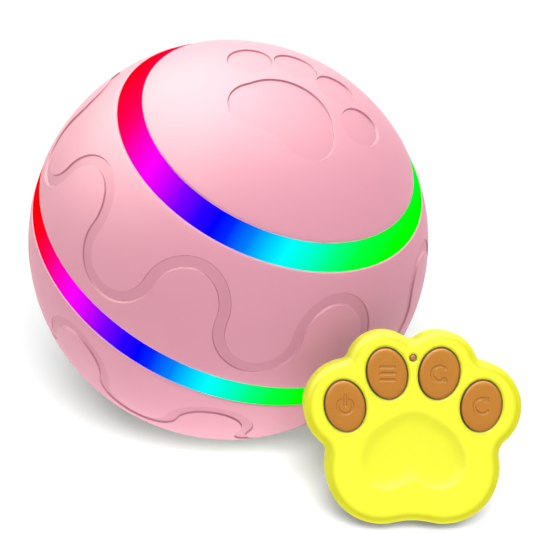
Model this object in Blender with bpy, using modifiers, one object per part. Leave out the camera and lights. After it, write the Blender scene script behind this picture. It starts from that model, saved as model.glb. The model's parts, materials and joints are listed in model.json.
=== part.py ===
"""Automatic rolling dog ball with its paw-shaped remote, as separate pieces at real size.

Metres, +Z up. The origin is the point of the floor under the ball's centre.
The ball frame has its Z along the axis through the two paw prints and its X towards the heavy side.
The remote frame has its X to the right, Y up along the case and Z out of the buttons.
"""
import math

import bmesh
import bpy
from mathutils import Matrix, Vector

# Ball
BALL_RADIUS = 0.0390
AXIS_LEAN = math.radians(33.1)
AXIS_HEADING = math.radians(-49.3)
SEAT_GAP = 0.0003
RUNNING_GAP = 0.0003
CUT_OVERRUN = 0.0010

# Soft skins and the light rings between them
SKIN_THICKNESS = 0.0027
RING_LATITUDE = math.radians(42.6)
RING_WIDTH = 0.0046
RING_SET_BACK = 0.00015

# Wave groove in each band skin
GROOVE_LATITUDE = math.radians(20.7)
GROOVE_SWING = math.radians(10.97)
GROOVE_WIDTH = 0.0021
GROOVE_DEPTH = 0.0005
GROOVE_WAVES = 8
GROOVE_PHASE = math.radians(-10.9)
GROOVE_BEND_STEPS = 5

# Paw print recess in each cap skin, in lengths along the surface from the pole
PAW_DEPTH = 0.0005
PAW_HEADING = math.radians(118.4)
PAD_LOBE_CENTRE_BACK = 0.0082
PAD_LOBE_RADIUS = 0.0097
PAD_SIDE_LOBE_OFFSET = 0.0052
PAD_SIDE_LOBE_RADIUS = 0.0054
PAD_SHOULDER_FILLET = 0.0068
PAD_NOTCH_FILLET = 0.0102
INNER_TOE_OUT = 0.0045
INNER_TOE_AHEAD = 0.0082
INNER_TOE_WIDTH = 0.0084
INNER_TOE_LENGTH = 0.0098
INNER_TOE_TURN = math.radians(-5.0)
OUTER_TOE_OUT = 0.0123
OUTER_TOE_AHEAD = 0.0033
OUTER_TOE_WIDTH = 0.0080
OUTER_TOE_LENGTH = 0.0095
OUTER_TOE_TURN = math.radians(-6.0)

# Hard shells, the lid at the upper pole, its seal, the hubs and the ring that couples the shells
SHELL_WALL = 0.0022
SEAL_THICKNESS = 0.0012
SEAL_HALF_ANGLE = math.radians(3.0)
HUB_FLANGE_RADIUS = 0.0070
HUB_FLANGE_THICKNESS = 0.0016
HUB_NECK_RADIUS = 0.0048
HUB_BORE_DEPTH = 0.0065
COUPLING_RING_HEIGHT = 0.0076
COUPLING_RING_WALL = 0.0016
COUPLING_RING_CLEARANCE = 0.0005

# Core that swings on the axle; the height is a share of the cavity's radius, the flat back of the core's
CORE_SHELL_CLEARANCE = 0.0022
CORE_HEIGHT_SHARE = 0.947
CORE_CENTRE_DROP = 0.0010
CORE_FLAT_BACK_SHARE = 0.488
CORE_WALL = 0.0016
CORE_COVER_THICKNESS = 0.0017
AXLE_RADIUS = 0.0016
IDLER_PIN_RADIUS = 0.0020
IDLER_PIN_FLANGE_RADIUS = 0.0040
IDLER_PIN_FLANGE_THICKNESS = 0.0010
HUB_CORE_GAP = 0.0040
BUSH_RADIUS = 0.0034
BUSH_FLANGE_RADIUS = 0.0052
BUSH_FLANGE_THICKNESS = 0.0010

# Gear train between the motor and the axle; the module is a share of the core's inner radius
GEAR_MODULE_SHARE = 0.028
OUTPUT_TEETH = 30
REDUCTION_PINION_TEETH = 10
REDUCTION_TEETH = 24
MOTOR_TEETH = 8
OUTPUT_GEAR_FACE = 0.0028
REDUCTION_GEAR_FACE = 0.0018
GEAR_BACKLASH = 0.00025
REDUCTION_PIN_RADIUS = 0.0010
MOTOR_SHAFT_RADIUS = 0.00075
REDUCTION_HEADING = math.radians(-65.0)
MOTOR_HEADING = math.radians(45.0)
GEAR_PRESSURE = math.radians(20.0)
ADDENDUM_SHARE = 0.85
DEDENDUM_SHARE = 1.15

# Core contents; shares are of the core's inner radius
GEAR_PLATE_THICKNESS = 0.0012
MOTOR_DIAMETER_SHARE = 0.619
MOTOR_FLATS_SHARE = 0.787
MOTOR_BOARD_GAP = 0.0011
MOTOR_CAP_THICKNESS = 0.0012
MOTOR_CAP_SHARE = 0.92
BATTERY_THICKNESS_SHARE = 0.2875
BATTERY_HEADING = math.radians(57.0)
BATTERY_OFFSET_SHARE = 0.639
BATTERY_POST_GAP = 0.0010
BATTERY_BOARD_GAP = 0.0006
BATTERY_EDGE = 0.0012
WEIGHT_INNER_SHARE = 0.559
WEIGHT_START = math.radians(0.0)
WEIGHT_SPAN = math.radians(54.0)
WEIGHT_STEPS = 8
POST_RADIUS = 0.0018
POST_SHOULDER = 0.0010
POST_EDGE_OFFSET = 0.0034
POST_HEADINGS = (math.radians(112.0), math.radians(-112.0), math.radians(12.0))
BOARD_THICKNESS = 0.0012
BOARD_CLEARANCE = 0.0026
SCREW_RADIUS = 0.0009
SCREW_HEAD_RADIUS = 0.0018
SCREW_HEAD_HEIGHT = 0.0008
SCREW_REACH = 0.0030
LIGHT_SIZE_SHARE = 0.2
LIGHT_HEIGHT = 0.0022
LIGHT_ORBIT_SHARE = 0.659
LIGHT_HEADINGS = (math.radians(-38.0), math.radians(38.0), math.radians(72.0), math.radians(-72.0))
SOCKET_SIZE = (0.0032, 0.0089, 0.0074)
SOCKET_MOUTH = (0.0024, 0.0080, 0.0055)
SOCKET_TONGUE = 0.0007
SOCKET_BACK_MARGIN = 0.0009
SOCKET_STAND_OUT = 0.0002
POWER_BUTTON_RADIUS_SHARE = 0.112
POWER_BUTTON_STAND_OUT = 0.0008
POWER_BUTTON_PLACE_SHARES = (-0.12, -0.383)
POWER_BUTTON_EDGE = 0.0005
POWER_FLANGE = 0.0008
POWER_FLANGE_THICKNESS = 0.0005
POWER_TRAVEL = 0.0004
SWITCH_SIZE_SHARE = 0.24
SWITCH_GAP = 0.0001

# Remote case
REMOTE_THICKNESS = 0.0100
REMOTE_LEAN = math.radians(18.0)
REMOTE_ASIDE = 0.0327
REMOTE_WALL = 0.0016
REMOTE_FACE_WALL = 0.0018
REMOTE_FLOOR_WALL = 0.0014
REMOTE_SHOULDER = 0.0018
REMOTE_BACK_EDGE = 0.0012
OUTER_LOBE_PLACE = (0.01097, 0.00372)
OUTER_LOBE_RADIUS = 0.00794
INNER_LOBE_PLACE = (0.00486, 0.01036)
INNER_LOBE_RADIUS = 0.00650
PALM_LOBE_PLACE = (0.00536, -0.00694)
PALM_LOBE_RADIUS = 0.00977
TOE_FILLET = 0.0016
WAIST_FILLET = 0.0030
PALM_NOTCH_FILLET = 0.0130
DISH_SIZE = (0.0182, 0.0140)
DISH_DEPTH = 0.0010
DISH_PLACE = (0.0, -0.0039)
EDGE_STEPS = 3

# Remote keys, battery and inner pieces
KEY_WIDTH = 0.0069
KEY_LENGTH = 0.0088
KEY_TURN = math.radians(11.0)
OUTER_KEY_PLACE = (0.01176, 0.0039)
INNER_KEY_PLACE = (0.0045, 0.0095)
KEY_CROWN = 0.0004
KEY_CROWN_INSET = 0.0006
KEY_FLANGE = 0.0003
KEY_FLANGE_THICKNESS = 0.0004
KEY_TRAVEL = 0.00035
DOME_RADIUS = 0.0020
DOME_CROWN_SHARE = 0.7
INDICATOR_RADIUS = 0.0005
INDICATOR_NOTCH_MARGIN = 0.0025
REMOTE_BOARD_THICKNESS = 0.0010
REMOTE_BOARD_MARGIN = 0.0006
CELL_SCREW_CLEARANCE = 0.00046
CELL_THICKNESS = 0.0032
CELL_DROP = 0.0030
DOOR_MARGIN = 0.0004
DOOR_THICKNESS = 0.0011
DOOR_SLOT_SIZE = (0.0100, 0.0016)
DOOR_SLOT_DEPTH = 0.0006
CONTACT_SIZE = (0.0140, 0.0040)
CONTACT_THICKNESS = 0.0003
CASE_SCREW_HEADING = math.radians(-39.1)
CASE_POST_RADIUS = 0.0017
CASE_POST_CLEARANCE = 0.00036
REMOTE_SCREW_RADIUS = 0.0007
REMOTE_SCREW_HEAD_RADIUS = 0.0013
WELL_WALL = 0.0007

# Facet counts
BAND_FACETS = 40
SHELL_FACETS = 32
CAP_FACETS = 32
CORE_FACETS = 32
ROUND_FACETS = 20
HUB_FACETS = 16
KEY_FACETS = 16
TOE_FACETS = 12
SMALL_FACETS = 10
LOBE_STEPS = 7
INNER_LOBE_STEPS = 5
NOTCH_STEPS = 3
SHELL_ARC_STEPS = 6
SHELL_INNER_ARC_STEPS = 5
SHELL_BAND_ARC_STEPS = 3
LID_ARC_STEPS = 4
LID_INNER_ARC_STEPS = 3
RING_ARC_STEPS = 1
BAND_ARC_STEPS = 4
BAND_INNER_ARC_STEPS = 3
CAP_ARC_STEPS = 4
FLANK_STEPS = 1
PINION_FLANK_STEPS = 2
BEVEL_SEGMENTS = 2
MERGE_DISTANCE = 0.000001
SHARP_ANGLE = math.radians(35.0)
SEARCH_SHARE = 3
SEARCH_HALVINGS = 50
GEAR_JOIN_SHARE = 0.33

# Derived places of the ball
SHELL_RADIUS = BALL_RADIUS - SKIN_THICKNESS - SEAT_GAP
CAVITY_RADIUS = SHELL_RADIUS - SHELL_WALL
SKIN_SEAT_RADIUS = BALL_RADIUS - SKIN_THICKNESS
HUB_SEAT_RADIUS = HUB_FLANGE_RADIUS + SEAT_GAP
HUB_SEAT_HEIGHT = math.sqrt(CAVITY_RADIUS ** 2 - HUB_SEAT_RADIUS ** 2)
RING_HALF_ANGLE = RING_WIDTH / 2 / BALL_RADIUS
SKIN_EDGE_ANGLE = (RING_WIDTH / 2 + SEAT_GAP) / BALL_RADIUS
LID_LATITUDE = RING_LATITUDE + SKIN_EDGE_ANGLE
LID_GAP_ANGLE = SEAT_GAP / SHELL_RADIUS

# Derived places of the core, as heights in the ball frame
CORE_HEIGHT = CAVITY_RADIUS * CORE_HEIGHT_SHARE
CORE_BOTTOM = -CORE_HEIGHT / 2 - CORE_CENTRE_DROP
CORE_TOP = CORE_BOTTOM + CORE_HEIGHT
CORE_RIM = CORE_TOP - CORE_COVER_THICKNESS - SEAT_GAP
CORE_RADIUS = math.sqrt((CAVITY_RADIUS - CORE_SHELL_CLEARANCE) ** 2 - CORE_BOTTOM ** 2)
CORE_INNER_RADIUS = CORE_RADIUS - CORE_WALL
CORE_FLAT_BACK = CORE_RADIUS * CORE_FLAT_BACK_SHARE
CORE_FLOOR = CORE_BOTTOM + CORE_WALL
OUTPUT_GEAR_BASE = CORE_FLOOR + SEAT_GAP
OUTPUT_GEAR_TOP = OUTPUT_GEAR_BASE + OUTPUT_GEAR_FACE
REDUCTION_GEAR_BASE = OUTPUT_GEAR_TOP + RUNNING_GAP
REDUCTION_GEAR_TOP = REDUCTION_GEAR_BASE + REDUCTION_GEAR_FACE
GEAR_PLATE_BASE = REDUCTION_GEAR_TOP + RUNNING_GAP
GEAR_PLATE_TOP = GEAR_PLATE_BASE + GEAR_PLATE_THICKNESS
MOTOR_BASE = GEAR_PLATE_TOP + SEAT_GAP
BATTERY_BASE = GEAR_PLATE_TOP + SEAT_GAP
BOARD_TOP = CORE_RIM - BOARD_CLEARANCE
BOARD_BASE = BOARD_TOP - BOARD_THICKNESS
POST_TOP = BOARD_BASE - SEAT_GAP
LIGHT_BASE = BOARD_TOP + SEAT_GAP
SWITCH_BASE = BOARD_TOP + SEAT_GAP
MOTOR_TOP = BOARD_BASE - MOTOR_BOARD_GAP - MOTOR_CAP_THICKNESS - SEAT_GAP
BATTERY_TOP = BOARD_BASE - BATTERY_BOARD_GAP
POWER_BUTTON_TOP = CORE_TOP + POWER_BUTTON_STAND_OUT
POWER_FLANGE_TOP = CORE_RIM
POWER_BUTTON_BASE = POWER_FLANGE_TOP - POWER_FLANGE_THICKNESS
SWITCH_TOP = POWER_BUTTON_BASE - POWER_TRAVEL - SWITCH_GAP
SOCKET_TOP = CORE_TOP + SOCKET_STAND_OUT
PLATE_RADIUS = CORE_INNER_RADIUS - SEAT_GAP
PLATE_FLAT_BACK = CORE_FLAT_BACK - CORE_WALL - SEAT_GAP
POST_ORBIT = CORE_INNER_RADIUS - POST_EDGE_OFFSET
MOTOR_DIAMETER = CORE_INNER_RADIUS * MOTOR_DIAMETER_SHARE
MOTOR_FLATS = MOTOR_DIAMETER * MOTOR_FLATS_SHARE
BATTERY_OFFSET = CORE_INNER_RADIUS * BATTERY_OFFSET_SHARE
BATTERY_THICKNESS = CORE_INNER_RADIUS * BATTERY_THICKNESS_SHARE
POST_ASIDE = POST_ORBIT * math.sin(BATTERY_HEADING - POST_HEADINGS[-1])
BATTERY_LENGTH = 2 * (POST_ASIDE - POST_RADIUS - BATTERY_POST_GAP)
BATTERY_SIZE = (BATTERY_THICKNESS, BATTERY_LENGTH, BATTERY_TOP - BATTERY_BASE)
WEIGHT_INNER_RADIUS = CORE_INNER_RADIUS * WEIGHT_INNER_SHARE
LIGHT_SIZE = CORE_INNER_RADIUS * LIGHT_SIZE_SHARE
LIGHT_ORBIT = CORE_INNER_RADIUS * LIGHT_ORBIT_SHARE
SOCKET_PLACE = (SOCKET_BACK_MARGIN + SEAT_GAP + SOCKET_SIZE[0] / 2 - PLATE_FLAT_BACK, 0)
POWER_BUTTON_RADIUS = CORE_INNER_RADIUS * POWER_BUTTON_RADIUS_SHARE
POWER_BUTTON_PLACE = tuple(CORE_INNER_RADIUS * share for share in POWER_BUTTON_PLACE_SHARES)
SWITCH_SIZE = CORE_INNER_RADIUS * SWITCH_SIZE_SHARE
GEAR_MODULE = CORE_INNER_RADIUS * GEAR_MODULE_SHARE
GEAR_CENTRES = GEAR_MODULE * (OUTPUT_TEETH + REDUCTION_PINION_TEETH) / 2
MOTOR_CENTRES = GEAR_MODULE * (REDUCTION_TEETH + MOTOR_TEETH) / 2
REDUCTION_PLACE = Vector((math.cos(REDUCTION_HEADING), math.sin(REDUCTION_HEADING))) * GEAR_CENTRES
MOTOR_PLACE = REDUCTION_PLACE + Vector((math.cos(MOTOR_HEADING), math.sin(MOTOR_HEADING))) * MOTOR_CENTRES
HUB_INNER_END = CORE_BOTTOM - HUB_CORE_GAP
IDLER_FLANGE_BASE = CORE_TOP + SEAT_GAP
UPPER_HUB_END = IDLER_FLANGE_BASE + IDLER_PIN_FLANGE_THICKNESS + HUB_CORE_GAP

# Derived places of the remote, as heights in its own frame with zero at the middle of its thickness
FACE_TOP = REMOTE_THICKNESS / 2
FACE_CEILING = FACE_TOP - REMOTE_FACE_WALL
BACK_BASE = -REMOTE_THICKNESS / 2
BACK_FLOOR = BACK_BASE + REMOTE_FLOOR_WALL
DOOR_TOP = BACK_BASE + DOOR_THICKNESS
CELL_BASE = DOOR_TOP + SEAT_GAP
CELL_TOP = CELL_BASE + CELL_THICKNESS
CONTACT_BASE = CELL_TOP + SEAT_GAP
REMOTE_BOARD_BASE = CONTACT_BASE + CONTACT_THICKNESS + SEAT_GAP
REMOTE_BOARD_TOP = REMOTE_BOARD_BASE + REMOTE_BOARD_THICKNESS
KEY_FLANGE_TOP = FACE_CEILING - SEAT_GAP
KEY_BASE = KEY_FLANGE_TOP - KEY_FLANGE_THICKNESS
DOME_BASE = REMOTE_BOARD_TOP + SEAT_GAP
DOME_TOP = KEY_BASE - KEY_TRAVEL - SWITCH_GAP
KEY_TOP = FACE_TOP + KEY_CROWN
REMOTE_REACH = -PALM_LOBE_PLACE[1] + PALM_LOBE_RADIUS
REMOTE_SCREW_SEAT = BACK_BASE + SCREW_HEAD_HEIGHT
TOE_NOTCH_HEIGHT = INNER_LOBE_PLACE[1] + math.sqrt(INNER_LOBE_RADIUS ** 2 - INNER_LOBE_PLACE[0] ** 2)
INDICATOR_HEIGHT = TOE_NOTCH_HEIGHT - INDICATOR_NOTCH_MARGIN
CASE_SCREW_ORBIT = PALM_LOBE_RADIUS - REMOTE_WALL - CASE_POST_RADIUS - CASE_POST_CLEARANCE
CASE_SCREW_PLACE = (PALM_LOBE_PLACE[0] + CASE_SCREW_ORBIT * math.cos(CASE_SCREW_HEADING),
                    PALM_LOBE_PLACE[1] + CASE_SCREW_ORBIT * math.sin(CASE_SCREW_HEADING))
CELL_SCREW_REACH = math.hypot(CASE_SCREW_PLACE[0], CASE_SCREW_PLACE[1] + CELL_DROP)
DOOR_RADIUS = CELL_SCREW_REACH - REMOTE_SCREW_HEAD_RADIUS - SEAT_GAP - RUNNING_GAP - CELL_SCREW_CLEARANCE
CELL_RADIUS = DOOR_RADIUS - DOOR_MARGIN

MATERIALS = {
    "pink_skin": ((0.82, 0.42, 0.50, 1.0), 0.45, 0.0),
    "opal_shell": ((0.86, 0.86, 0.88, 1.0), 0.35, 0.0),
    "light_ring": ((0.10, 0.75, 0.95, 1.0), 0.25, 0.0),
    "grey_plastic": ((0.45, 0.46, 0.48, 1.0), 0.50, 0.0),
    "black_plastic": ((0.03, 0.03, 0.03, 1.0), 0.50, 0.0),
    "acetal": ((0.85, 0.84, 0.80, 1.0), 0.40, 0.0),
    "steel": ((0.60, 0.60, 0.62, 1.0), 0.30, 1.0),
    "brass": ((0.75, 0.55, 0.25, 1.0), 0.35, 1.0),
    "battery_wrap": ((0.10, 0.25, 0.55, 1.0), 0.35, 0.0),
    "board_green": ((0.02, 0.18, 0.06, 1.0), 0.50, 0.0),
    "lamp_lens": ((0.90, 0.90, 0.85, 1.0), 0.20, 0.0),
    "yellow_plastic": ((0.95, 0.95, 0.06, 1.0), 0.40, 0.0),
    "brown_key": ((0.55, 0.21, 0.03, 1.0), 0.50, 0.0),
    "seal_rubber": ((0.12, 0.12, 0.13, 1.0), 0.60, 0.0),
}


def clear_scene():
    for obj in list(bpy.data.objects):
        bpy.data.objects.remove(obj, do_unlink=True)


def make_collection(name):
    collection = bpy.data.collections.new(name)
    bpy.context.scene.collection.children.link(collection)
    return collection


def make_material(name):
    color, roughness, metallic = MATERIALS[name]
    material = bpy.data.materials.new(name)
    material.use_nodes = True
    shader = material.node_tree.nodes["Principled BSDF"]
    shader.inputs["Base Color"].default_value = color
    shader.inputs["Roughness"].default_value = roughness
    shader.inputs["Metallic"].default_value = metallic
    return material


clear_scene()
PARTS = make_collection("rolling_dog_ball")
CUTTERS = make_collection("cutters")
FINISHES = {name: make_material(name) for name in MATERIALS}


def make_frame(name, matrix):
    """Empty that carries the pieces of one frame."""
    frame = bpy.data.objects.new(name, None)
    frame.matrix_world = matrix
    PARTS.objects.link(frame)
    return frame


def leaning_frame():
    """Ball frame in the world: Z along the leaning axis, X down towards the heavy side."""
    turn = Matrix.Rotation(AXIS_HEADING, 4, "Z") @ Matrix.Rotation(AXIS_LEAN, 4, "Y")
    return Matrix.Translation((0, 0, BALL_RADIUS)) @ turn


def lobe_back_gap(centre, lobe, radius, turn):
    """Least distance from the ball's centre to the rounded back edge of one lobe of the remote."""
    middle = centre + turn @ Vector((lobe[0], lobe[1], BACK_BASE + REMOTE_BACK_EDGE))
    outward = turn @ Vector((0, 0, 1))
    offset = Vector((0, 0, BALL_RADIUS)) - middle
    depth = offset.dot(outward)
    aside = math.sqrt(max(offset.length_squared - depth ** 2, 0))
    reach = radius - REMOTE_BACK_EDGE
    return math.hypot(depth, aside - reach) - REMOTE_BACK_EDGE


def resting_frame():
    """Remote frame in the world: its foot on the floor and its back just clear of the ball."""
    turn = Matrix.Rotation(math.pi / 2 - REMOTE_LEAN, 3, "X")
    foot = (REMOTE_REACH - REMOTE_BACK_EDGE) * math.cos(REMOTE_LEAN)
    heel = (REMOTE_THICKNESS / 2 - REMOTE_BACK_EDGE) * math.sin(REMOTE_LEAN)
    height = foot + heel + REMOTE_BACK_EDGE
    lobes = (
        ((-OUTER_LOBE_PLACE[0], OUTER_LOBE_PLACE[1]), OUTER_LOBE_RADIUS),
        ((-INNER_LOBE_PLACE[0], INNER_LOBE_PLACE[1]), INNER_LOBE_RADIUS),
        (INNER_LOBE_PLACE, INNER_LOBE_RADIUS),
        ((-PALM_LOBE_PLACE[0], PALM_LOBE_PLACE[1]), PALM_LOBE_RADIUS),
    )
    near, far = 0.0, SEARCH_SHARE * BALL_RADIUS
    for _ in range(SEARCH_HALVINGS):
        middle = (near + far) / 2
        centre = Vector((REMOTE_ASIDE, -middle, height))
        gap = min(lobe_back_gap(centre, lobe, radius, turn) for lobe, radius in lobes) - BALL_RADIUS
        if gap < SEAT_GAP:
            near = middle
        else:
            far = middle
    return Matrix.Translation((REMOTE_ASIDE, -far, height)) @ turn.to_4x4()


BALL = make_frame("ball_frame", leaning_frame())
REMOTE = make_frame("remote_frame", resting_frame())


def add_object(name, mesh, parent, material=None, place=(0, 0, 0), turn=0.0):
    """Link one object under its frame; without a material it is a cutter."""
    obj = bpy.data.objects.new(name, mesh)
    obj.parent = parent
    obj.location = place
    obj.rotation_euler = (0, 0, turn)
    if material:
        PARTS.objects.link(obj)
        mesh.materials.append(FINISHES[material])
    else:
        CUTTERS.objects.link(obj)
        obj.hide_render = True
        obj.display_type = "WIRE"
    return obj


def finish_mesh(name, bm):
    """Mesh with outward faces, smooth over shallow angles."""
    bmesh.ops.recalc_face_normals(bm, faces=bm.faces)
    mesh = bpy.data.meshes.new(name)
    bm.to_mesh(mesh)
    bm.free()
    mesh.shade_smooth()
    mesh.set_sharp_from_angle(angle=SHARP_ANGLE)
    return mesh


def combine(obj, other, operation):
    """Cut, join or keep the common part of two objects."""
    boolean = obj.modifiers.new(other.name, "BOOLEAN")
    boolean.operation = operation
    boolean.solver = "EXACT"
    boolean.object = other
    return obj


def cut(obj, *cutters):
    for cutter in cutters:
        combine(obj, cutter, "DIFFERENCE")
    return obj


def join(obj, *additions):
    for addition in additions:
        combine(obj, addition, "UNION")
    return obj


def turned(name, profile, facets, parent, material=None, place=(0, 0, 0), closed=False):
    """Profile of (radius, height) points, down the outer side, swept about Z."""
    mesh = bpy.data.meshes.new(name)
    verts = [(x, 0, z) for x, z in profile]
    edges = [(i, i + 1) for i in range(len(profile) - 1)]
    if closed:
        edges.append((len(profile) - 1, 0))
    mesh.from_pydata(verts, edges, [])
    obj = add_object(name, mesh, parent, material, place)
    screw = obj.modifiers.new("sweep", "SCREW")
    screw.axis = "Z"
    screw.angle = math.tau
    screw.steps = facets
    screw.render_steps = facets
    screw.use_merge_vertices = True
    screw.merge_threshold = MERGE_DISTANCE
    screw.use_smooth_shade = True
    return obj


def mirrored(profile):
    """The same profile for the lower half, still running down its outer side."""
    return [(x, -z) for x, z in reversed(profile)]


def arc(radius, start, end, steps):
    """Points of a meridian between two latitudes."""
    return [(radius * math.cos(a), radius * math.sin(a)) for a in spread(start, end, steps)]


def lofted(name, loops, parent, material=None, place=(0, 0, 0), turn=0.0):
    """Closed solid through stacked loops of equal count, each (points, height)."""
    bm = bmesh.new()
    rows = [[bm.verts.new((x, y, z)) for x, y in points] for points, z in loops]
    bm.faces.new(rows[0])
    bm.faces.new(rows[-1])
    for lower, upper in zip(rows, rows[1:]):
        count = len(lower)
        for i in range(count):
            j = (i + 1) % count
            bm.faces.new((lower[i], lower[j], upper[j], upper[i]))
    return add_object(name, finish_mesh(name, bm), parent, material, place, turn)


def circle(radius, facets, centre=(0, 0)):
    angles = [math.tau * i / facets for i in range(facets)]
    return [(centre[0] + radius * math.cos(a), centre[1] + radius * math.sin(a)) for a in angles]


def ellipse(half_width, half_length, facets, centre=(0, 0), turn=0.0):
    points = []
    for i in range(facets):
        angle = math.tau * i / facets
        x, y = half_width * math.cos(angle), half_length * math.sin(angle)
        points.append((centre[0] + x * math.cos(turn) - y * math.sin(turn),
                       centre[1] + x * math.sin(turn) + y * math.cos(turn)))
    return points


def disc(name, radius, base, top, facets, parent, material=None, place=(0, 0)):
    outline = circle(radius, facets)
    return lofted(name, [(outline, base), (outline, top)], parent, material, (*place, 0))


def box(name, size, centre, parent, material=None, turn=0.0, edge=0.0):
    bm = bmesh.new()
    bmesh.ops.create_cube(bm, size=1.0)
    bmesh.ops.scale(bm, vec=size, verts=bm.verts)
    obj = add_object(name, finish_mesh(name, bm), parent, material, centre, turn)
    if edge:
        bevel = obj.modifiers.new("edge", "BEVEL")
        bevel.width = edge
        bevel.segments = BEVEL_SEGMENTS
    return obj


def flat_backed_disc(name, radius, back, base, top, parent, material=None):
    """Disc with one side cut flat at -X."""
    bm = bmesh.new()
    bmesh.ops.create_cone(bm, cap_ends=True, segments=CORE_FACETS, radius1=radius, radius2=radius,
                          depth=top - base)
    bmesh.ops.translate(bm, vec=(0, 0, (top + base) / 2), verts=bm.verts)
    everything = bm.verts[:] + bm.edges[:] + bm.faces[:]
    trim = bmesh.ops.bisect_plane(bm, geom=everything, plane_co=(-back, 0, 0), plane_no=(-1, 0, 0),
                                  clear_outer=True)
    bmesh.ops.holes_fill(bm, edges=[e for e in trim["geom_cut"] if isinstance(e, bmesh.types.BMEdge)])
    return add_object(name, finish_mesh(name, bm), parent, material)


def fillet_centre(first, second, radius):
    """Centre of the arc that eases the notch between two lobes met in anticlockwise order."""
    (a, ra), (b, rb) = first, second
    da, db = ra + radius, rb + radius
    span = (b - a).length
    along = (da ** 2 - db ** 2 + span ** 2) / (2 * span)
    across = math.sqrt(max(da ** 2 - along ** 2, 0))
    direction = (b - a) / span
    outward = Vector((direction.y, -direction.x))
    return a + direction * along + outward * across


def spread(start, end, steps):
    """Evenly spaced values from start to end, both included."""
    return [start + (end - start) * i / steps for i in range(steps + 1)]


def lobed_outline(lobes, fillets, inset=0.0, steps=LOBE_STEPS):
    """Outline of round lobes in anticlockwise order, with an eased notch after each one."""
    rounds = [(Vector(centre), radius - inset) for centre, radius in lobes]
    count = len(rounds)
    notches = [fillet_centre(rounds[i], rounds[(i + 1) % count], fillets[i] + inset) for i in range(count)]
    points = []
    for i, (centre, radius) in enumerate(rounds):
        before, after = notches[i - 1], notches[i]
        start = math.atan2(before.y - centre.y, before.x - centre.x)
        end = math.atan2(after.y - centre.y, after.x - centre.x)
        while end < start:
            end += math.tau
        for angle in spread(start, end, steps):
            points.append((centre.x + radius * math.cos(angle), centre.y + radius * math.sin(angle)))
        following = rounds[(i + 1) % count][0]
        ease = fillets[i] + inset
        start = math.atan2(centre.y - after.y, centre.x - after.x)
        end = math.atan2(following.y - after.y, following.x - after.x)
        while end > start:
            end -= math.tau
        for angle in spread(start, end, NOTCH_STEPS)[1:-1]:
            points.append((after.x + ease * math.cos(angle), after.y + ease * math.sin(angle)))
    return points


def half_name(side, piece):
    return ("upper_" if side > 0 else "lower_") + piece


def half_profile(side, profile):
    """Profile drawn for the upper half, turned over for the lower one."""
    return profile if side > 0 else mirrored(profile)


# Ball shells, skins and light rings

def bowl_profile(edge, outer_steps, inner_steps):
    """Part of the shell from the pole down to a latitude, with a flat seat for its hub."""
    seat = math.acos(HUB_SEAT_RADIUS / CAVITY_RADIUS)
    outer = arc(SHELL_RADIUS, math.pi / 2, edge, outer_steps)
    return outer + arc(CAVITY_RADIUS, edge, seat, inner_steps) + [(0, HUB_SEAT_HEIGHT)]


def make_lower_shell():
    rim = SEAT_GAP / 2 / SHELL_RADIUS
    profile = mirrored(bowl_profile(rim, SHELL_ARC_STEPS, SHELL_INNER_ARC_STEPS))
    return turned("lower_shell", profile, SHELL_FACETS, BALL, "opal_shell")


def make_upper_shell():
    """Shell between the joint at the middle and the opening for the lid."""
    rim, mouth = SEAT_GAP / 2 / SHELL_RADIUS, LID_LATITUDE - LID_GAP_ANGLE
    profile = arc(SHELL_RADIUS, mouth, rim, SHELL_BAND_ARC_STEPS)
    profile += arc(CAVITY_RADIUS, rim, mouth, SHELL_BAND_ARC_STEPS)
    return turned("upper_shell", profile, SHELL_FACETS, BALL, "opal_shell", closed=True)


def make_access_lid():
    """Lid under the upper cap skin; it turns, lifts off and carries the upper hub."""
    profile = bowl_profile(LID_LATITUDE, LID_ARC_STEPS, LID_INNER_ARC_STEPS)
    return turned("access_lid", profile, SHELL_FACETS, BALL, "opal_shell")


def make_lid_seal():
    """Soft ring inside the shell that bridges the joint of the lid."""
    outer = CAVITY_RADIUS - SEAT_GAP
    top, bottom = LID_LATITUDE + SEAL_HALF_ANGLE, LID_LATITUDE - SEAL_HALF_ANGLE
    profile = arc(outer, top, bottom, RING_ARC_STEPS)
    profile += arc(outer - SEAL_THICKNESS, bottom, top, RING_ARC_STEPS)
    return turned("lid_seal", profile, SHELL_FACETS, BALL, "seal_rubber", closed=True)


def make_light_ring(name, latitude):
    """Light guide band that fills the slot between two skins."""
    top, bottom = latitude + RING_HALF_ANGLE, latitude - RING_HALF_ANGLE
    profile = arc(BALL_RADIUS - RING_SET_BACK, top, bottom, RING_ARC_STEPS)
    profile += arc(SKIN_SEAT_RADIUS, bottom, top, RING_ARC_STEPS)
    return turned(name, profile, BAND_FACETS, BALL, "light_ring", closed=True)


def groove_directions():
    """Unit vectors along the wave: half circles that swing about the groove's latitude."""
    bends = 2 * GROOVE_WAVES
    half_wave = math.tau / bends
    directions = []
    for bend in range(bends):
        way = 1 if bend % 2 == 0 else -1
        for i in range(GROOVE_BEND_STEPS):
            angle = math.pi * (1 - i / GROOVE_BEND_STEPS)
            longitude = GROOVE_PHASE + half_wave * (bend + math.cos(angle) / 2)
            latitude = GROOVE_LATITUDE + way * GROOVE_SWING * math.sin(angle)
            across = math.cos(latitude)
            east, north = across * math.cos(longitude), across * math.sin(longitude)
            directions.append(Vector((east, north, math.sin(latitude))))
    return directions


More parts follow.
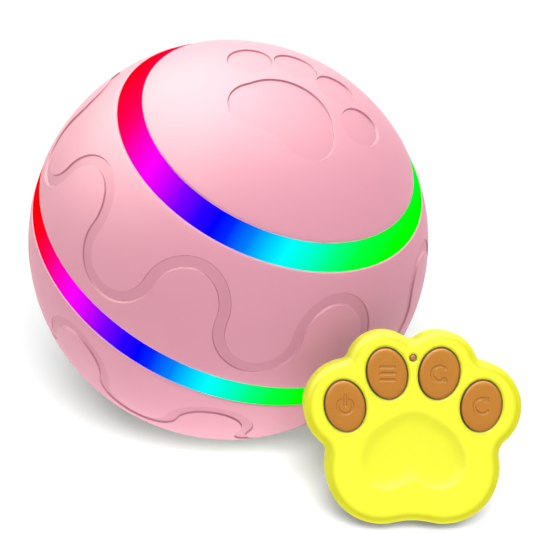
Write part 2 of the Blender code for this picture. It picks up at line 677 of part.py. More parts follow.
def make_groove_cutter(side):
    """Ribbon that stands on edge along the wave, as wide as the groove."""
    bm = bmesh.new()
    floor = BALL_RADIUS - GROOVE_DEPTH
    verts = [bm.verts.new((d.x * floor, d.y * floor, side * d.z * floor)) for d in groove_directions()]
    edges = [bm.edges.new((verts[i - 1], verts[i])) for i in range(len(verts))]
    raised = bmesh.ops.extrude_edge_only(bm, edges=edges)["geom"]
    top = [v for v in raised if isinstance(v, bmesh.types.BMVert)]
    grow = (BALL_RADIUS + CUT_OVERRUN) / floor
    bmesh.ops.scale(bm, vec=(grow, grow, grow), verts=top)
    name = half_name(side, "groove_cutter")
    cutter = add_object(name, finish_mesh(name, bm), BALL)
    ribbon = cutter.modifiers.new("width", "SOLIDIFY")
    ribbon.thickness = GROOVE_WIDTH
    ribbon.offset = 0
    ribbon.use_even_offset = True
    return cutter


def make_band_skin(side):
    """Soft skin between the middle ring and the ring of its half, with the wave groove."""
    top, bottom = RING_LATITUDE - SKIN_EDGE_ANGLE, SKIN_EDGE_ANGLE
    profile = arc(BALL_RADIUS, top, bottom, BAND_ARC_STEPS)
    profile += arc(SKIN_SEAT_RADIUS, bottom, top, BAND_INNER_ARC_STEPS)
    name = half_name(side, "band_skin")
    band = turned(name, half_profile(side, profile), BAND_FACETS, BALL, "pink_skin", closed=True)
    return cut(band, make_groove_cutter(side))


def on_ball(point):
    """Point given in lengths along the surface from the pole, seen along the axis."""
    x, y = point
    reach = math.hypot(x, y)
    share = math.sin(reach / BALL_RADIUS) * BALL_RADIUS / reach if reach else 1.0
    heading = PAW_HEADING - math.pi / 2
    turned_x = x * math.cos(heading) - y * math.sin(heading)
    turned_y = x * math.sin(heading) + y * math.cos(heading)
    return Vector((turned_x * share, turned_y * share))


def paw_outlines():
    """Pad and four toes, with the paw's own up along +Y and the pole at zero."""
    side_lobe = PAD_SIDE_LOBE_OFFSET, -PAD_LOBE_CENTRE_BACK
    lobes = [(side_lobe, PAD_SIDE_LOBE_RADIUS),
             ((0, -PAD_LOBE_CENTRE_BACK), PAD_LOBE_RADIUS),
             ((-side_lobe[0], side_lobe[1]), PAD_SIDE_LOBE_RADIUS)]
    outlines = [lobed_outline(lobes, (PAD_SHOULDER_FILLET, PAD_SHOULDER_FILLET, PAD_NOTCH_FILLET))]
    toes = ((INNER_TOE_OUT, INNER_TOE_AHEAD, INNER_TOE_WIDTH, INNER_TOE_LENGTH, INNER_TOE_TURN),
            (OUTER_TOE_OUT, OUTER_TOE_AHEAD, OUTER_TOE_WIDTH, OUTER_TOE_LENGTH, OUTER_TOE_TURN))
    for out, ahead, width, length, turn in toes:
        for way in (1, -1):
            outlines.append(ellipse(width / 2, length / 2, TOE_FACETS, (way * out, ahead), way * turn))
    return outlines


def make_paw_cutter(side):
    """Paw prisms with the ball of the recess floor taken away below them."""
    bm = bmesh.new()
    floor = BALL_RADIUS - PAW_DEPTH
    edge = LID_LATITUDE
    heights = (floor * math.sin(edge) + CUT_OVERRUN, BALL_RADIUS + CUT_OVERRUN)
    for outline in paw_outlines():
        points = [on_ball(p) for p in outline]
        rows = [[bm.verts.new((p.x, p.y, side * z)) for p in points] for z in heights]
        bm.faces.new(rows[0])
        bm.faces.new(rows[1])
        for i in range(len(points)):
            bm.faces.new((rows[0][i - 1], rows[0][i], rows[1][i], rows[1][i - 1]))
    name = half_name(side, "paw_cutter")
    cutter = add_object(name, finish_mesh(name, bm), BALL)
    profile = arc(floor, math.pi / 2, edge, CAP_ARC_STEPS) + [(0, floor * math.sin(edge))]
    floor_ball = turned(half_name(side, "paw_floor"), half_profile(side, profile), CAP_FACETS, BALL)
    return cut(cutter, floor_ball)


def make_cap_skin(side):
    """Soft cap outside the light ring, with the paw print sunk into it."""
    edge = LID_LATITUDE
    profile = arc(BALL_RADIUS, math.pi / 2, edge, CAP_ARC_STEPS)
    profile += arc(SKIN_SEAT_RADIUS, edge, math.pi / 2, CAP_ARC_STEPS)
    name = half_name(side, "cap_skin")
    cap = turned(name, half_profile(side, profile), CAP_FACETS, BALL, "pink_skin")
    return cut(cap, make_paw_cutter(side))


def make_coupling_ring():
    """Inner ring that bridges the joint between the two shells."""
    half = COUPLING_RING_HEIGHT / 2
    outer = math.sqrt(CAVITY_RADIUS ** 2 - half ** 2) - COUPLING_RING_CLEARANCE
    inner = outer - COUPLING_RING_WALL
    profile = [(outer, half), (outer, -half), (inner, -half), (inner, half)]
    return turned("coupling_ring", profile, SHELL_FACETS, BALL, "grey_plastic", closed=True)


def make_hub(side, inner_end, bore):
    """Flanged boss at a pole that holds the axle or takes the idler pin."""
    seat = HUB_SEAT_HEIGHT - SEAT_GAP
    shoulder = seat - HUB_FLANGE_THICKNESS
    profile = [(0, seat), (HUB_FLANGE_RADIUS, seat), (HUB_FLANGE_RADIUS, shoulder), (HUB_NECK_RADIUS, shoulder),
               (HUB_NECK_RADIUS, inner_end), (bore, inner_end), (bore, inner_end + HUB_BORE_DEPTH),
               (0, inner_end + HUB_BORE_DEPTH)]
    name = "upper_hub" if side > 0 else "drive_hub"
    return turned(name, half_profile(side, profile), HUB_FACETS, BALL, "acetal")


# Gears

def gear_outline(teeth, flank_steps, phase=0.0):
    """Outline of a spur gear with involute flanks, a tooth centred at the phase angle."""
    pitch = GEAR_MODULE * teeth / 2
    base = pitch * math.cos(GEAR_PRESSURE)
    tip, root = pitch + ADDENDUM_SHARE * GEAR_MODULE, pitch - DEDENDUM_SHARE * GEAR_MODULE
    half_tooth = (math.pi * GEAR_MODULE / 2 - GEAR_BACKLASH / 2) / 2 / pitch
    involute = math.tan(GEAR_PRESSURE) - GEAR_PRESSURE
    flank = []
    for i in range(flank_steps + 1):
        radius = root + (tip - root) * i / flank_steps
        lean = math.acos(base / max(radius, base))
        flank.append((radius, half_tooth + involute - (math.tan(lean) - lean)))
    points = []
    for tooth in range(teeth):
        centre = phase + math.tau * tooth / teeth
        side = [(r, centre - a) for r, a in flank] + [(r, centre + a) for r, a in reversed(flank)]
        points += [(r * math.cos(a), r * math.sin(a)) for r, a in side]
    return points


def meshing_phase(direction, teeth, mate_teeth, mate_phase):
    """Phase of a gear whose gap meets its mate's tooth; the mate lies back along the direction."""
    return direction + math.pi + (math.pi - (mate_phase - direction) * mate_teeth) / teeth


def make_output_gear():
    """Gear fixed to the axle; the core rolls its reduction pinion round it."""
    outline = gear_outline(OUTPUT_TEETH, FLANK_STEPS)
    gear = lofted("output_gear", [(outline, OUTPUT_GEAR_BASE), (outline, OUTPUT_GEAR_TOP)], BALL, "acetal")
    bore = disc("output_gear_bore", AXLE_RADIUS + SEAT_GAP, OUTPUT_GEAR_BASE - CUT_OVERRUN,
                OUTPUT_GEAR_TOP + CUT_OVERRUN, SMALL_FACETS, BALL)
    return cut(gear, bore)


REDUCTION_PHASE = meshing_phase(REDUCTION_HEADING, REDUCTION_PINION_TEETH, OUTPUT_TEETH, 0.0)
MOTOR_PHASE = meshing_phase(MOTOR_HEADING, MOTOR_TEETH, REDUCTION_TEETH, REDUCTION_PHASE)


def make_reduction_gear():
    """Compound gear: a small pinion under a large wheel, turning on its pin."""
    overlap = REDUCTION_GEAR_FACE * GEAR_JOIN_SHARE
    small = gear_outline(REDUCTION_PINION_TEETH, PINION_FLANK_STEPS, REDUCTION_PHASE)
    large = gear_outline(REDUCTION_TEETH, FLANK_STEPS, REDUCTION_PHASE)
    place = (*REDUCTION_PLACE, 0)
    levels = [(large, REDUCTION_GEAR_BASE), (large, REDUCTION_GEAR_TOP)]
    gear = lofted("reduction_gear", levels, BALL, "acetal", place)
    pinion = lofted("reduction_pinion", [(small, OUTPUT_GEAR_BASE), (small, REDUCTION_GEAR_BASE + overlap)],
                    BALL, None, place)
    bore = disc("reduction_bore", REDUCTION_PIN_RADIUS + RUNNING_GAP, OUTPUT_GEAR_BASE - CUT_OVERRUN,
                REDUCTION_GEAR_TOP + CUT_OVERRUN, SMALL_FACETS, BALL, None, REDUCTION_PLACE)
    join(gear, pinion)
    return cut(gear, bore)


def make_motor_pinion():
    """Small pinion on the motor's shaft."""
    outline = gear_outline(MOTOR_TEETH, PINION_FLANK_STEPS, MOTOR_PHASE)
    place = (*MOTOR_PLACE, 0)
    pinion = lofted("motor_pinion", [(outline, REDUCTION_GEAR_BASE), (outline, REDUCTION_GEAR_TOP)],
                    BALL, "brass", place)
    shaft = disc("motor_shaft", MOTOR_SHAFT_RADIUS, REDUCTION_GEAR_TOP - REDUCTION_GEAR_FACE / 2,
                 MOTOR_BASE - RUNNING_GAP, SMALL_FACETS, BALL, None, MOTOR_PLACE)
    return join(pinion, shaft)


# Axle, pins and bushes

def make_drive_axle():
    bottom = HUB_INNER_END - HUB_BORE_DEPTH + SEAT_GAP
    return disc("drive_axle", AXLE_RADIUS, bottom, MOTOR_BASE, SMALL_FACETS, BALL, "steel")


def make_reduction_pin():
    return disc("reduction_pin", REDUCTION_PIN_RADIUS, CORE_BOTTOM + CORE_WALL / 2, MOTOR_BASE,
                SMALL_FACETS, BALL, "steel", REDUCTION_PLACE)


def make_idler_pin():
    """Pin on the core's cover that turns in the upper hub."""
    flange_top = IDLER_FLANGE_BASE + IDLER_PIN_FLANGE_THICKNESS
    tip = UPPER_HUB_END + HUB_BORE_DEPTH / 2
    tail = CORE_RIM + SEAT_GAP
    profile = [(0, tip), (IDLER_PIN_RADIUS, tip), (IDLER_PIN_RADIUS, flange_top),
               (IDLER_PIN_FLANGE_RADIUS, flange_top), (IDLER_PIN_FLANGE_RADIUS, IDLER_FLANGE_BASE),
               (IDLER_PIN_RADIUS, IDLER_FLANGE_BASE), (IDLER_PIN_RADIUS, tail), (0, tail)]
    return turned("idler_pin", profile, SMALL_FACETS, BALL, "steel")


def make_axle_bush():
    """Flanged bush in the core's floor that runs on the axle."""
    bore = AXLE_RADIUS + RUNNING_GAP
    flange_top = CORE_BOTTOM - SEAT_GAP
    flange_base = flange_top - BUSH_FLANGE_THICKNESS
    profile = [(BUSH_RADIUS, CORE_FLOOR), (BUSH_RADIUS, flange_top), (BUSH_FLANGE_RADIUS, flange_top),
               (BUSH_FLANGE_RADIUS, flange_base), (bore, flange_base), (bore, CORE_FLOOR)]
    return turned("axle_bush", profile, HUB_FACETS, BALL, "brass", closed=True)


# Core housing and contents

def post_places():
    return [Vector((math.cos(a), math.sin(a))) * POST_ORBIT for a in POST_HEADINGS]


def stepped_post(name, place):
    """Post with a shoulder for the gear plate and a neck up to the board."""
    lower, upper = POST_RADIUS + POST_SHOULDER, POST_RADIUS
    shoulder = GEAR_PLATE_BASE - SEAT_GAP
    loops = [(circle(lower, SMALL_FACETS), CORE_FLOOR - CORE_WALL / 2), (circle(lower, SMALL_FACETS), shoulder),
             (circle(upper, SMALL_FACETS), shoulder), (circle(upper, SMALL_FACETS), POST_TOP)]
    return lofted(name, loops, BALL, None, (*place, 0))


def make_core_base():
    """Open tub with a flat back, posts, the bush hole and the seat of the reduction pin."""
    base = flat_backed_disc("core_base", CORE_RADIUS, CORE_FLAT_BACK, CORE_BOTTOM, CORE_RIM, BALL,
                            "grey_plastic")
    hollow = flat_backed_disc("core_hollow", CORE_INNER_RADIUS, CORE_FLAT_BACK - CORE_WALL, CORE_FLOOR,
                              CORE_RIM + CUT_OVERRUN, BALL)
    cut(base, hollow)
    for i, place in enumerate(post_places()):
        join(base, stepped_post(f"post_{i}", place))
        cut(base, disc(f"post_hole_{i}", SCREW_RADIUS + SEAT_GAP, POST_TOP - SCREW_REACH - SEAT_GAP,
                       POST_TOP + CUT_OVERRUN, SMALL_FACETS, BALL, None, place))
    bush = disc("bush_hole", BUSH_RADIUS + SEAT_GAP, CORE_BOTTOM - CUT_OVERRUN, CORE_FLOOR + CUT_OVERRUN,
                HUB_FACETS, BALL)
    pin = disc("pin_hole", REDUCTION_PIN_RADIUS + SEAT_GAP, CORE_BOTTOM + CORE_WALL / 2 - SEAT_GAP,
               CORE_FLOOR + CUT_OVERRUN, SMALL_FACETS, BALL, None, REDUCTION_PLACE)
    return cut(base, bush, pin)


def make_socket_window(name, low, high):
    """Cutter that clears the charging socket in the cover or the board."""
    width, length, _ = SOCKET_SIZE
    size = (width + 2 * SEAT_GAP, length + 2 * SEAT_GAP, high - low)
    return box(name, size, (*SOCKET_PLACE, (low + high) / 2), BALL)


def make_core_cover():
    """Flat cover with lamp windows and holes for the button, the socket, the pin and the screws."""
    underside = CORE_TOP - CORE_COVER_THICKNESS
    cover = flat_backed_disc("core_cover", CORE_RADIUS, CORE_FLAT_BACK, underside, CORE_TOP, BALL,
                             "grey_plastic")
    low, high = CORE_RIM - CUT_OVERRUN, CORE_TOP + CUT_OVERRUN
    side = LIGHT_SIZE + 2 * SEAT_GAP
    for i, place in enumerate(light_places()):
        cut(cover, box(f"light_window_{i}", (side, side, high - low), (*place, (low + high) / 2), BALL))
    for i, place in enumerate(post_places()):
        cut(cover, disc(f"cover_hole_{i}", SCREW_RADIUS + SEAT_GAP, low, high, SMALL_FACETS, BALL, None, place))
    button = disc("button_hole", POWER_BUTTON_RADIUS + RUNNING_GAP, low, high, HUB_FACETS, BALL, None,
                  POWER_BUTTON_PLACE)
    pin = disc("idler_hole", IDLER_PIN_RADIUS + SEAT_GAP, low, high, SMALL_FACETS, BALL)
    return cut(cover, button, pin, make_socket_window("cover_socket_window", low, high))


def make_gear_plate():
    """Plate over the gears that carries the motor and the battery."""
    plate = flat_backed_disc("gear_plate", PLATE_RADIUS, PLATE_FLAT_BACK, GEAR_PLATE_BASE, GEAR_PLATE_TOP,
                             BALL, "grey_plastic")
    low, high = GEAR_PLATE_BASE - CUT_OVERRUN, GEAR_PLATE_TOP + CUT_OVERRUN
    holes = [("axle", AXLE_RADIUS + RUNNING_GAP, (0, 0)),
             ("pin", REDUCTION_PIN_RADIUS + SEAT_GAP, REDUCTION_PLACE),
             ("shaft", MOTOR_SHAFT_RADIUS + RUNNING_GAP, MOTOR_PLACE)]
    holes += [(f"post_{i}", POST_RADIUS + SEAT_GAP, place) for i, place in enumerate(post_places())]
    for name, radius, place in holes:
        cut(plate, disc(f"plate_{name}_hole", radius, low, high, SMALL_FACETS, BALL, None, place))
    return plate


def make_control_board():
    """Board on the posts, over the motor and the battery."""
    board = flat_backed_disc("control_board", PLATE_RADIUS, PLATE_FLAT_BACK, BOARD_BASE, BOARD_TOP, BALL,
                             "board_green")
    low, high = BOARD_BASE - CUT_OVERRUN, BOARD_TOP + CUT_OVERRUN
    for i, place in enumerate(post_places()):
        cut(board, disc(f"board_hole_{i}", SCREW_RADIUS + SEAT_GAP, low, high, SMALL_FACETS, BALL, None, place))
    return cut(board, make_socket_window("board_socket_window", low, high))


def make_drive_motor():
    """Round can with two flats, as small motors have."""
    outline = []
    half = MOTOR_FLATS / 2
    for x, y in circle(MOTOR_DIAMETER / 2, ROUND_FACETS):
        outline.append((x, max(-half, min(half, y))))
    cap_base = MOTOR_TOP + SEAT_GAP
    heading = math.atan2(MOTOR_PLACE.y, MOTOR_PLACE.x) + math.pi / 2
    place = (*MOTOR_PLACE, 0)
    can = [(outline, MOTOR_BASE), (outline, MOTOR_TOP)]
    lofted("drive_motor", can, BALL, "steel", place, heading)
    rim = [(x * MOTOR_CAP_SHARE, y * MOTOR_CAP_SHARE) for x, y in outline]
    cap = [(rim, cap_base), (rim, cap_base + MOTOR_CAP_THICKNESS)]
    lofted("motor_end_cap", cap, BALL, "black_plastic", place, heading)


def make_battery():
    centre = (BATTERY_OFFSET * math.cos(BATTERY_HEADING), BATTERY_OFFSET * math.sin(BATTERY_HEADING),
              (BATTERY_BASE + BATTERY_TOP) / 2)
    return box("battery_cell", BATTERY_SIZE, centre, BALL, "battery_wrap", BATTERY_HEADING, BATTERY_EDGE)


def make_counterweight():
    """Steel sector low in the core that keeps its heavy side down."""
    end = WEIGHT_START + WEIGHT_SPAN
    outline = arc(PLATE_RADIUS, WEIGHT_START, end, WEIGHT_STEPS)
    outline += arc(WEIGHT_INNER_RADIUS, end, WEIGHT_START, WEIGHT_STEPS)
    low, high = OUTPUT_GEAR_BASE, GEAR_PLATE_BASE - SEAT_GAP
    weight = lofted("counterweight", [(outline, low), (outline, high)], BALL, "steel")
    notch = disc("weight_notch", POST_RADIUS + POST_SHOULDER + SEAT_GAP, low - CUT_OVERRUN, high + CUT_OVERRUN,
                 ROUND_FACETS, BALL, None, post_places()[-1])
    return cut(weight, notch)


def light_places():
    return [Vector((math.cos(a), math.sin(a))) * LIGHT_ORBIT for a in LIGHT_HEADINGS]


def make_ring_lamps():
    """Square lamps on the board under the windows of the cover."""
    for i, place in enumerate(light_places()):
        centre = (*place, LIGHT_BASE + LIGHT_HEIGHT / 2)
        box(f"ring_lamp_{i + 1}", (LIGHT_SIZE, LIGHT_SIZE, LIGHT_HEIGHT), centre, BALL, "lamp_lens")


def make_usb_socket():
    """Charging socket that stands in the board with its mouth up through the cover."""
    middle = SOCKET_TOP - SOCKET_SIZE[2] / 2
    socket = box("usb_socket", SOCKET_SIZE, (*SOCKET_PLACE, middle), BALL, "steel")
    mouth_width, mouth_length, depth = SOCKET_MOUTH
    slot_width = (mouth_width - SOCKET_TONGUE) / 2
    size = (slot_width, mouth_length, depth + CUT_OVERRUN)
    for i, way in enumerate((1, -1)):
        x, y = SOCKET_PLACE
        centre = (x + way * (mouth_width - slot_width) / 2, y, SOCKET_TOP + (CUT_OVERRUN - depth) / 2)
        cut(socket, box(f"socket_slot_{i}", size, centre, BALL))
    return socket


def make_power_button():
    """Round cap through the cover, with a flange under it, over its switch on the board."""
    edge = POWER_BUTTON_EDGE
    flange = circle(POWER_BUTTON_RADIUS + POWER_FLANGE, HUB_FACETS)
    outline = circle(POWER_BUTTON_RADIUS, HUB_FACETS)
    crown = circle(POWER_BUTTON_RADIUS - edge, HUB_FACETS)
    loops = [(flange, POWER_BUTTON_BASE), (flange, POWER_FLANGE_TOP), (outline, POWER_FLANGE_TOP),
             (outline, POWER_BUTTON_TOP - edge), (crown, POWER_BUTTON_TOP)]
    lofted("power_button", loops, BALL, "brown_key", (*POWER_BUTTON_PLACE, 0))
    size = (SWITCH_SIZE, SWITCH_SIZE, SWITCH_TOP - SWITCH_BASE)
    centre = (*POWER_BUTTON_PLACE, (SWITCH_TOP + SWITCH_BASE) / 2)
    box("power_switch", size, centre, BALL, "black_plastic")


def headed_screw(name, place, shank, head, tip, seat, parent, way=1):
    """Screw with its head on the side that way names; the thread is left plain."""
    loops = [(circle(shank, SMALL_FACETS), tip), (circle(shank, SMALL_FACETS), seat),
             (circle(head, SMALL_FACETS), seat), (circle(head, SMALL_FACETS), seat + way * SCREW_HEAD_HEIGHT)]
    return lofted(name, loops, parent, "steel", (*place, 0))


def make_core_screws():
    for i, place in enumerate(post_places()):
        headed_screw(f"core_screw_{i + 1}", place, SCREW_RADIUS, SCREW_HEAD_RADIUS, POST_TOP - SCREW_REACH,
                     CORE_TOP + SEAT_GAP, BALL)


# Remote

def remote_lobes():
    """Lobes of the case in anticlockwise order, from the outer right toe to the right of the palm."""
    right = [(OUTER_LOBE_PLACE, OUTER_LOBE_RADIUS), (INNER_LOBE_PLACE, INNER_LOBE_RADIUS)]
    left = [((-x, y), radius) for (x, y), radius in reversed(right)]
    x, y = PALM_LOBE_PLACE
    return right + left + [((-x, y), PALM_LOBE_RADIUS), ((x, y), PALM_LOBE_RADIUS)]


def case_outline(inset=0.0, steps=LOBE_STEPS):
    """Paw outline of the case: four toes and a palm of two lobes."""
    fillets = (TOE_FILLET, TOE_FILLET, TOE_FILLET, WAIST_FILLET, PALM_NOTCH_FILLET, WAIST_FILLET)
    return lobed_outline(remote_lobes(), fillets, inset, steps)


def rounded_levels(edge, full, end):
    """Loops of the case from its full outline to a face that a round edge draws in."""
    way = 1 if end > full else -1
    levels = [(case_outline(), full)]
    for angle in spread(0, math.pi / 2, EDGE_STEPS):
        inset = edge * (1 - math.cos(angle))
        levels.append((case_outline(inset), end - way * edge * (1 - math.sin(angle))))
    return levels


def key_places():
    """Each key's name, place and lean."""
    keys = (("power_key", OUTER_KEY_PLACE, -1), ("mode_key", INNER_KEY_PLACE, -1),
            ("turn_left_key", INNER_KEY_PLACE, 1), ("turn_right_key", OUTER_KEY_PLACE, 1))
    return [(name, (way * x, y), -way * KEY_TURN) for name, (x, y), way in keys]


def case_screw_places():
    x, y = CASE_SCREW_PLACE
    return [(x, y), (-x, y)]


def make_top_case():
    """Front case with rounded shoulders, key holes and the shallow palm dish."""
    levels = rounded_levels(REMOTE_SHOULDER, SEAT_GAP / 2, FACE_TOP)
    case = lofted("remote_top_case", levels, REMOTE, "yellow_plastic")
    inner = case_outline(REMOTE_WALL, INNER_LOBE_STEPS)
    cut(case, lofted("top_cavity", [(inner, -CUT_OVERRUN), (inner, FACE_CEILING)], REMOTE))
    foot, root = REMOTE_BOARD_TOP + SEAT_GAP, FACE_CEILING + CUT_OVERRUN / 2
    for i, place in enumerate(case_screw_places()):
        boss = disc(f"top_boss_{i}", CASE_POST_RADIUS, foot, root, SMALL_FACETS, REMOTE, None, place)
        hole = disc(f"top_boss_hole_{i}", REMOTE_SCREW_RADIUS + SEAT_GAP, foot - CUT_OVERRUN, FACE_CEILING,
                    SMALL_FACETS, REMOTE, None, place)
        cut(join(case, boss), hole)
    low, high = FACE_CEILING - CUT_OVERRUN, FACE_TOP + CUT_OVERRUN
    for name, place, turn in key_places():
        outline = key_outline(RUNNING_GAP, turn)
        cut(case, lofted(f"{name}_hole", [(outline, low), (outline, high)], REMOTE, None, (*place, 0)))
    lamp = disc("indicator_hole", INDICATOR_RADIUS + SEAT_GAP, low, high, SMALL_FACETS, REMOTE, None,
                (0, INDICATOR_HEIGHT))
    return cut(case, lamp, make_dish_cutter())


def make_dish_cutter():
    """Flattened ball whose lower cap presses the palm dish into the face."""
    bm = bmesh.new()
    bmesh.ops.create_uvsphere(bm, u_segments=ROUND_FACETS, v_segments=SMALL_FACETS, radius=1.0)
    spread_share = math.sqrt(3) / 2
    width, length = DISH_SIZE
    size = (width / 2 / spread_share, length / 2 / spread_share, 2 * DISH_DEPTH)
    bmesh.ops.scale(bm, vec=size, verts=bm.verts)
    centre = (*DISH_PLACE, FACE_TOP + DISH_DEPTH)
    return add_object("dish_cutter", finish_mesh("dish_cutter", bm), REMOTE, None, centre)


def make_bottom_case():
    """Back case with the battery well, its opening and two screw posts."""
    levels = list(reversed(rounded_levels(REMOTE_BACK_EDGE, -SEAT_GAP / 2, BACK_BASE)))
    case = lofted("remote_bottom_case", levels, REMOTE, "yellow_plastic")
    inner = case_outline(REMOTE_WALL, INNER_LOBE_STEPS)
    cut(case, lofted("bottom_cavity", [(inner, BACK_FLOOR), (inner, CUT_OVERRUN)], REMOTE))
    centre = (0, -CELL_DROP)
    well_radius = DOOR_RADIUS + RUNNING_GAP
    root = BACK_FLOOR - REMOTE_FLOOR_WALL / 2
    wall = disc("battery_well_wall", well_radius + WELL_WALL, root, CELL_TOP, ROUND_FACETS, REMOTE, None,
                centre)
    well = disc("battery_well", well_radius, BACK_BASE - CUT_OVERRUN, CELL_TOP + CUT_OVERRUN, ROUND_FACETS,
                REMOTE, None, centre)
    cut(join(case, wall), well)
    for i, place in enumerate(case_screw_places()):
        post = disc(f"case_post_{i}", CASE_POST_RADIUS, root, REMOTE_BOARD_BASE - SEAT_GAP, SMALL_FACETS,
                    REMOTE, None, place)
        shank = disc(f"case_post_hole_{i}", REMOTE_SCREW_RADIUS + SEAT_GAP, BACK_BASE - CUT_OVERRUN,
                     REMOTE_BOARD_BASE + CUT_OVERRUN, SMALL_FACETS, REMOTE, None, place)
        head = disc(f"case_head_hole_{i}", REMOTE_SCREW_HEAD_RADIUS + SEAT_GAP, BACK_BASE - CUT_OVERRUN,
                    REMOTE_SCREW_SEAT + SEAT_GAP, SMALL_FACETS, REMOTE, None, place)
        cut(join(case, post), shank, head)
    return case


def key_outline(grow, turn):
    return ellipse(KEY_WIDTH / 2 + grow, KEY_LENGTH / 2 + grow, KEY_FACETS, (0, 0), turn)


def make_keys():
    """Four oval keys, each with a hidden flange that holds it in the case."""
    for name, place, turn in key_places():
        flange = key_outline(RUNNING_GAP + KEY_FLANGE, turn)
        stem = key_outline(0, turn)
        crown = key_outline(-KEY_CROWN_INSET, turn)
        loops = [(flange, KEY_BASE), (flange, KEY_FLANGE_TOP), (stem, KEY_FLANGE_TOP), (stem, FACE_TOP),
                 (crown, KEY_TOP)]
        lofted(name, loops, REMOTE, "brown_key", (*place, 0))


def make_key_domes():
    """Snap dome on the board under each key."""
    foot = circle(DOME_RADIUS, SMALL_FACETS)
    crown = circle(DOME_RADIUS * DOME_CROWN_SHARE, SMALL_FACETS)
    for name, place, _ in key_places():
        lofted(f"{name}_dome", [(foot, DOME_BASE), (crown, DOME_TOP)], REMOTE, "steel", (*place, 0))


def make_remote_board():
    """Board between the two cases, cut away round their screws."""
    outline = case_outline(REMOTE_WALL + REMOTE_BOARD_MARGIN, INNER_LOBE_STEPS)
    levels = [(outline, REMOTE_BOARD_BASE), (outline, REMOTE_BOARD_TOP)]
    board = lofted("remote_board", levels, REMOTE, "board_green")
    low, high = REMOTE_BOARD_BASE - CUT_OVERRUN, REMOTE_BOARD_TOP + CUT_OVERRUN
    for i, place in enumerate(case_screw_places()):
        hole = disc(f"remote_board_hole_{i}", REMOTE_SCREW_RADIUS + SEAT_GAP, low, high, SMALL_FACETS,
                    REMOTE, None, place)
        cut(board, hole)
    return board


def make_remote_inner_pieces():
    """Battery, its contact and the indicator lamp."""
    centre = (0, -CELL_DROP)
    disc("coin_cell", CELL_RADIUS, CELL_BASE, CELL_TOP, ROUND_FACETS, REMOTE, "steel", centre)
    middle = (*centre, CONTACT_BASE + CONTACT_THICKNESS / 2)
    box("battery_contact", (*CONTACT_SIZE, CONTACT_THICKNESS), middle, REMOTE, "brass")
    disc("indicator_lamp", INDICATOR_RADIUS, REMOTE_BOARD_TOP + SEAT_GAP, FACE_TOP, SMALL_FACETS, REMOTE,
         "lamp_lens", (0, INDICATOR_HEIGHT))


def make_battery_door():
    """Round door with a coin slot; a turn frees it."""
    place = (0, -CELL_DROP)
    door = disc("battery_door", DOOR_RADIUS, BACK_BASE, DOOR_TOP, ROUND_FACETS, REMOTE, "yellow_plastic", place)
    slot_height = DOOR_SLOT_DEPTH + CUT_OVERRUN
    centre = (*place, BACK_BASE + DOOR_SLOT_DEPTH - slot_height / 2)
    return cut(door, box("door_slot", (*DOOR_SLOT_SIZE, slot_height), centre, REMOTE))


def make_remote_screws():
    for i, place in enumerate(case_screw_places()):
        headed_screw(f"remote_screw_{i + 1}", place, REMOTE_SCREW_RADIUS, REMOTE_SCREW_HEAD_RADIUS,
                     FACE_CEILING - SEAT_GAP, REMOTE_SCREW_SEAT, REMOTE, way=-1)


def make_ball():
    make_lower_shell()
    make_upper_shell()
    make_access_lid()
    make_lid_seal()
    for side in (1, -1):
        make_band_skin(side)
        make_cap_skin(side)
    make_light_ring("upper_light_ring", RING_LATITUDE)
    make_light_ring("middle_light_ring", 0.0)
    make_light_ring("lower_light_ring", -RING_LATITUDE)
    make_coupling_ring()
    make_hub(1, UPPER_HUB_END, IDLER_PIN_RADIUS + RUNNING_GAP)
    make_hub(-1, -HUB_INNER_END, AXLE_RADIUS + SEAT_GAP)


def make_core():
    make_drive_axle()
    make_output_gear()
    make_axle_bush()
    make_reduction_pin()
    make_reduction_gear()
    make_motor_pinion()
    make_core_base()
    make_core_cover()
    make_gear_plate()
    make_drive_motor()
    make_battery()
    make_counterweight()
    make_control_board()
    make_ring_lamps()
    make_usb_socket()
    make_power_button()
    make_core_screws()
    make_idler_pin()


def make_remote():
    make_top_case()
    make_bottom_case()
    make_keys()
    make_key_domes()
    make_remote_board()
    make_remote_inner_pieces()
    make_battery_door()
    make_remote_screws()


make_ball()
make_core()
make_remote()
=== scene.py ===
import json
import math

import bmesh
import bpy
from mathutils import Matrix, Vector
from mathutils.kdtree import KDTree

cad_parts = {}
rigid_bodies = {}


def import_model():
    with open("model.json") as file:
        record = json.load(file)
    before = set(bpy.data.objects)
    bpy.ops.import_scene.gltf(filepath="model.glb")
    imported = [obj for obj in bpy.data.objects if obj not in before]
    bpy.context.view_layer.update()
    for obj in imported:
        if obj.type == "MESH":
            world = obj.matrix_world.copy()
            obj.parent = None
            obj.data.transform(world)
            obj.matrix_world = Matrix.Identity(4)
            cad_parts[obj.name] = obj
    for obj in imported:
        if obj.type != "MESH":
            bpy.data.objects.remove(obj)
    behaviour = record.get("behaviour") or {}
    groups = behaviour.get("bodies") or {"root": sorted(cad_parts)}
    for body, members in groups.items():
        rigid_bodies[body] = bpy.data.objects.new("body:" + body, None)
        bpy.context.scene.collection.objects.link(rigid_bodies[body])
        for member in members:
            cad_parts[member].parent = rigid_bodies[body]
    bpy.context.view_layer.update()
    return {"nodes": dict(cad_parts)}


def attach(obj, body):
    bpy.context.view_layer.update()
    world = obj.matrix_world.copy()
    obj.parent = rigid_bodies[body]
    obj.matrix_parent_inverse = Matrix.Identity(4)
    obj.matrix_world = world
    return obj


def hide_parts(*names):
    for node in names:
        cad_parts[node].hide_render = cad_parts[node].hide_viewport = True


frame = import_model()
print("frame loaded:", len(frame["nodes"]), "nodes")


# shared helpers

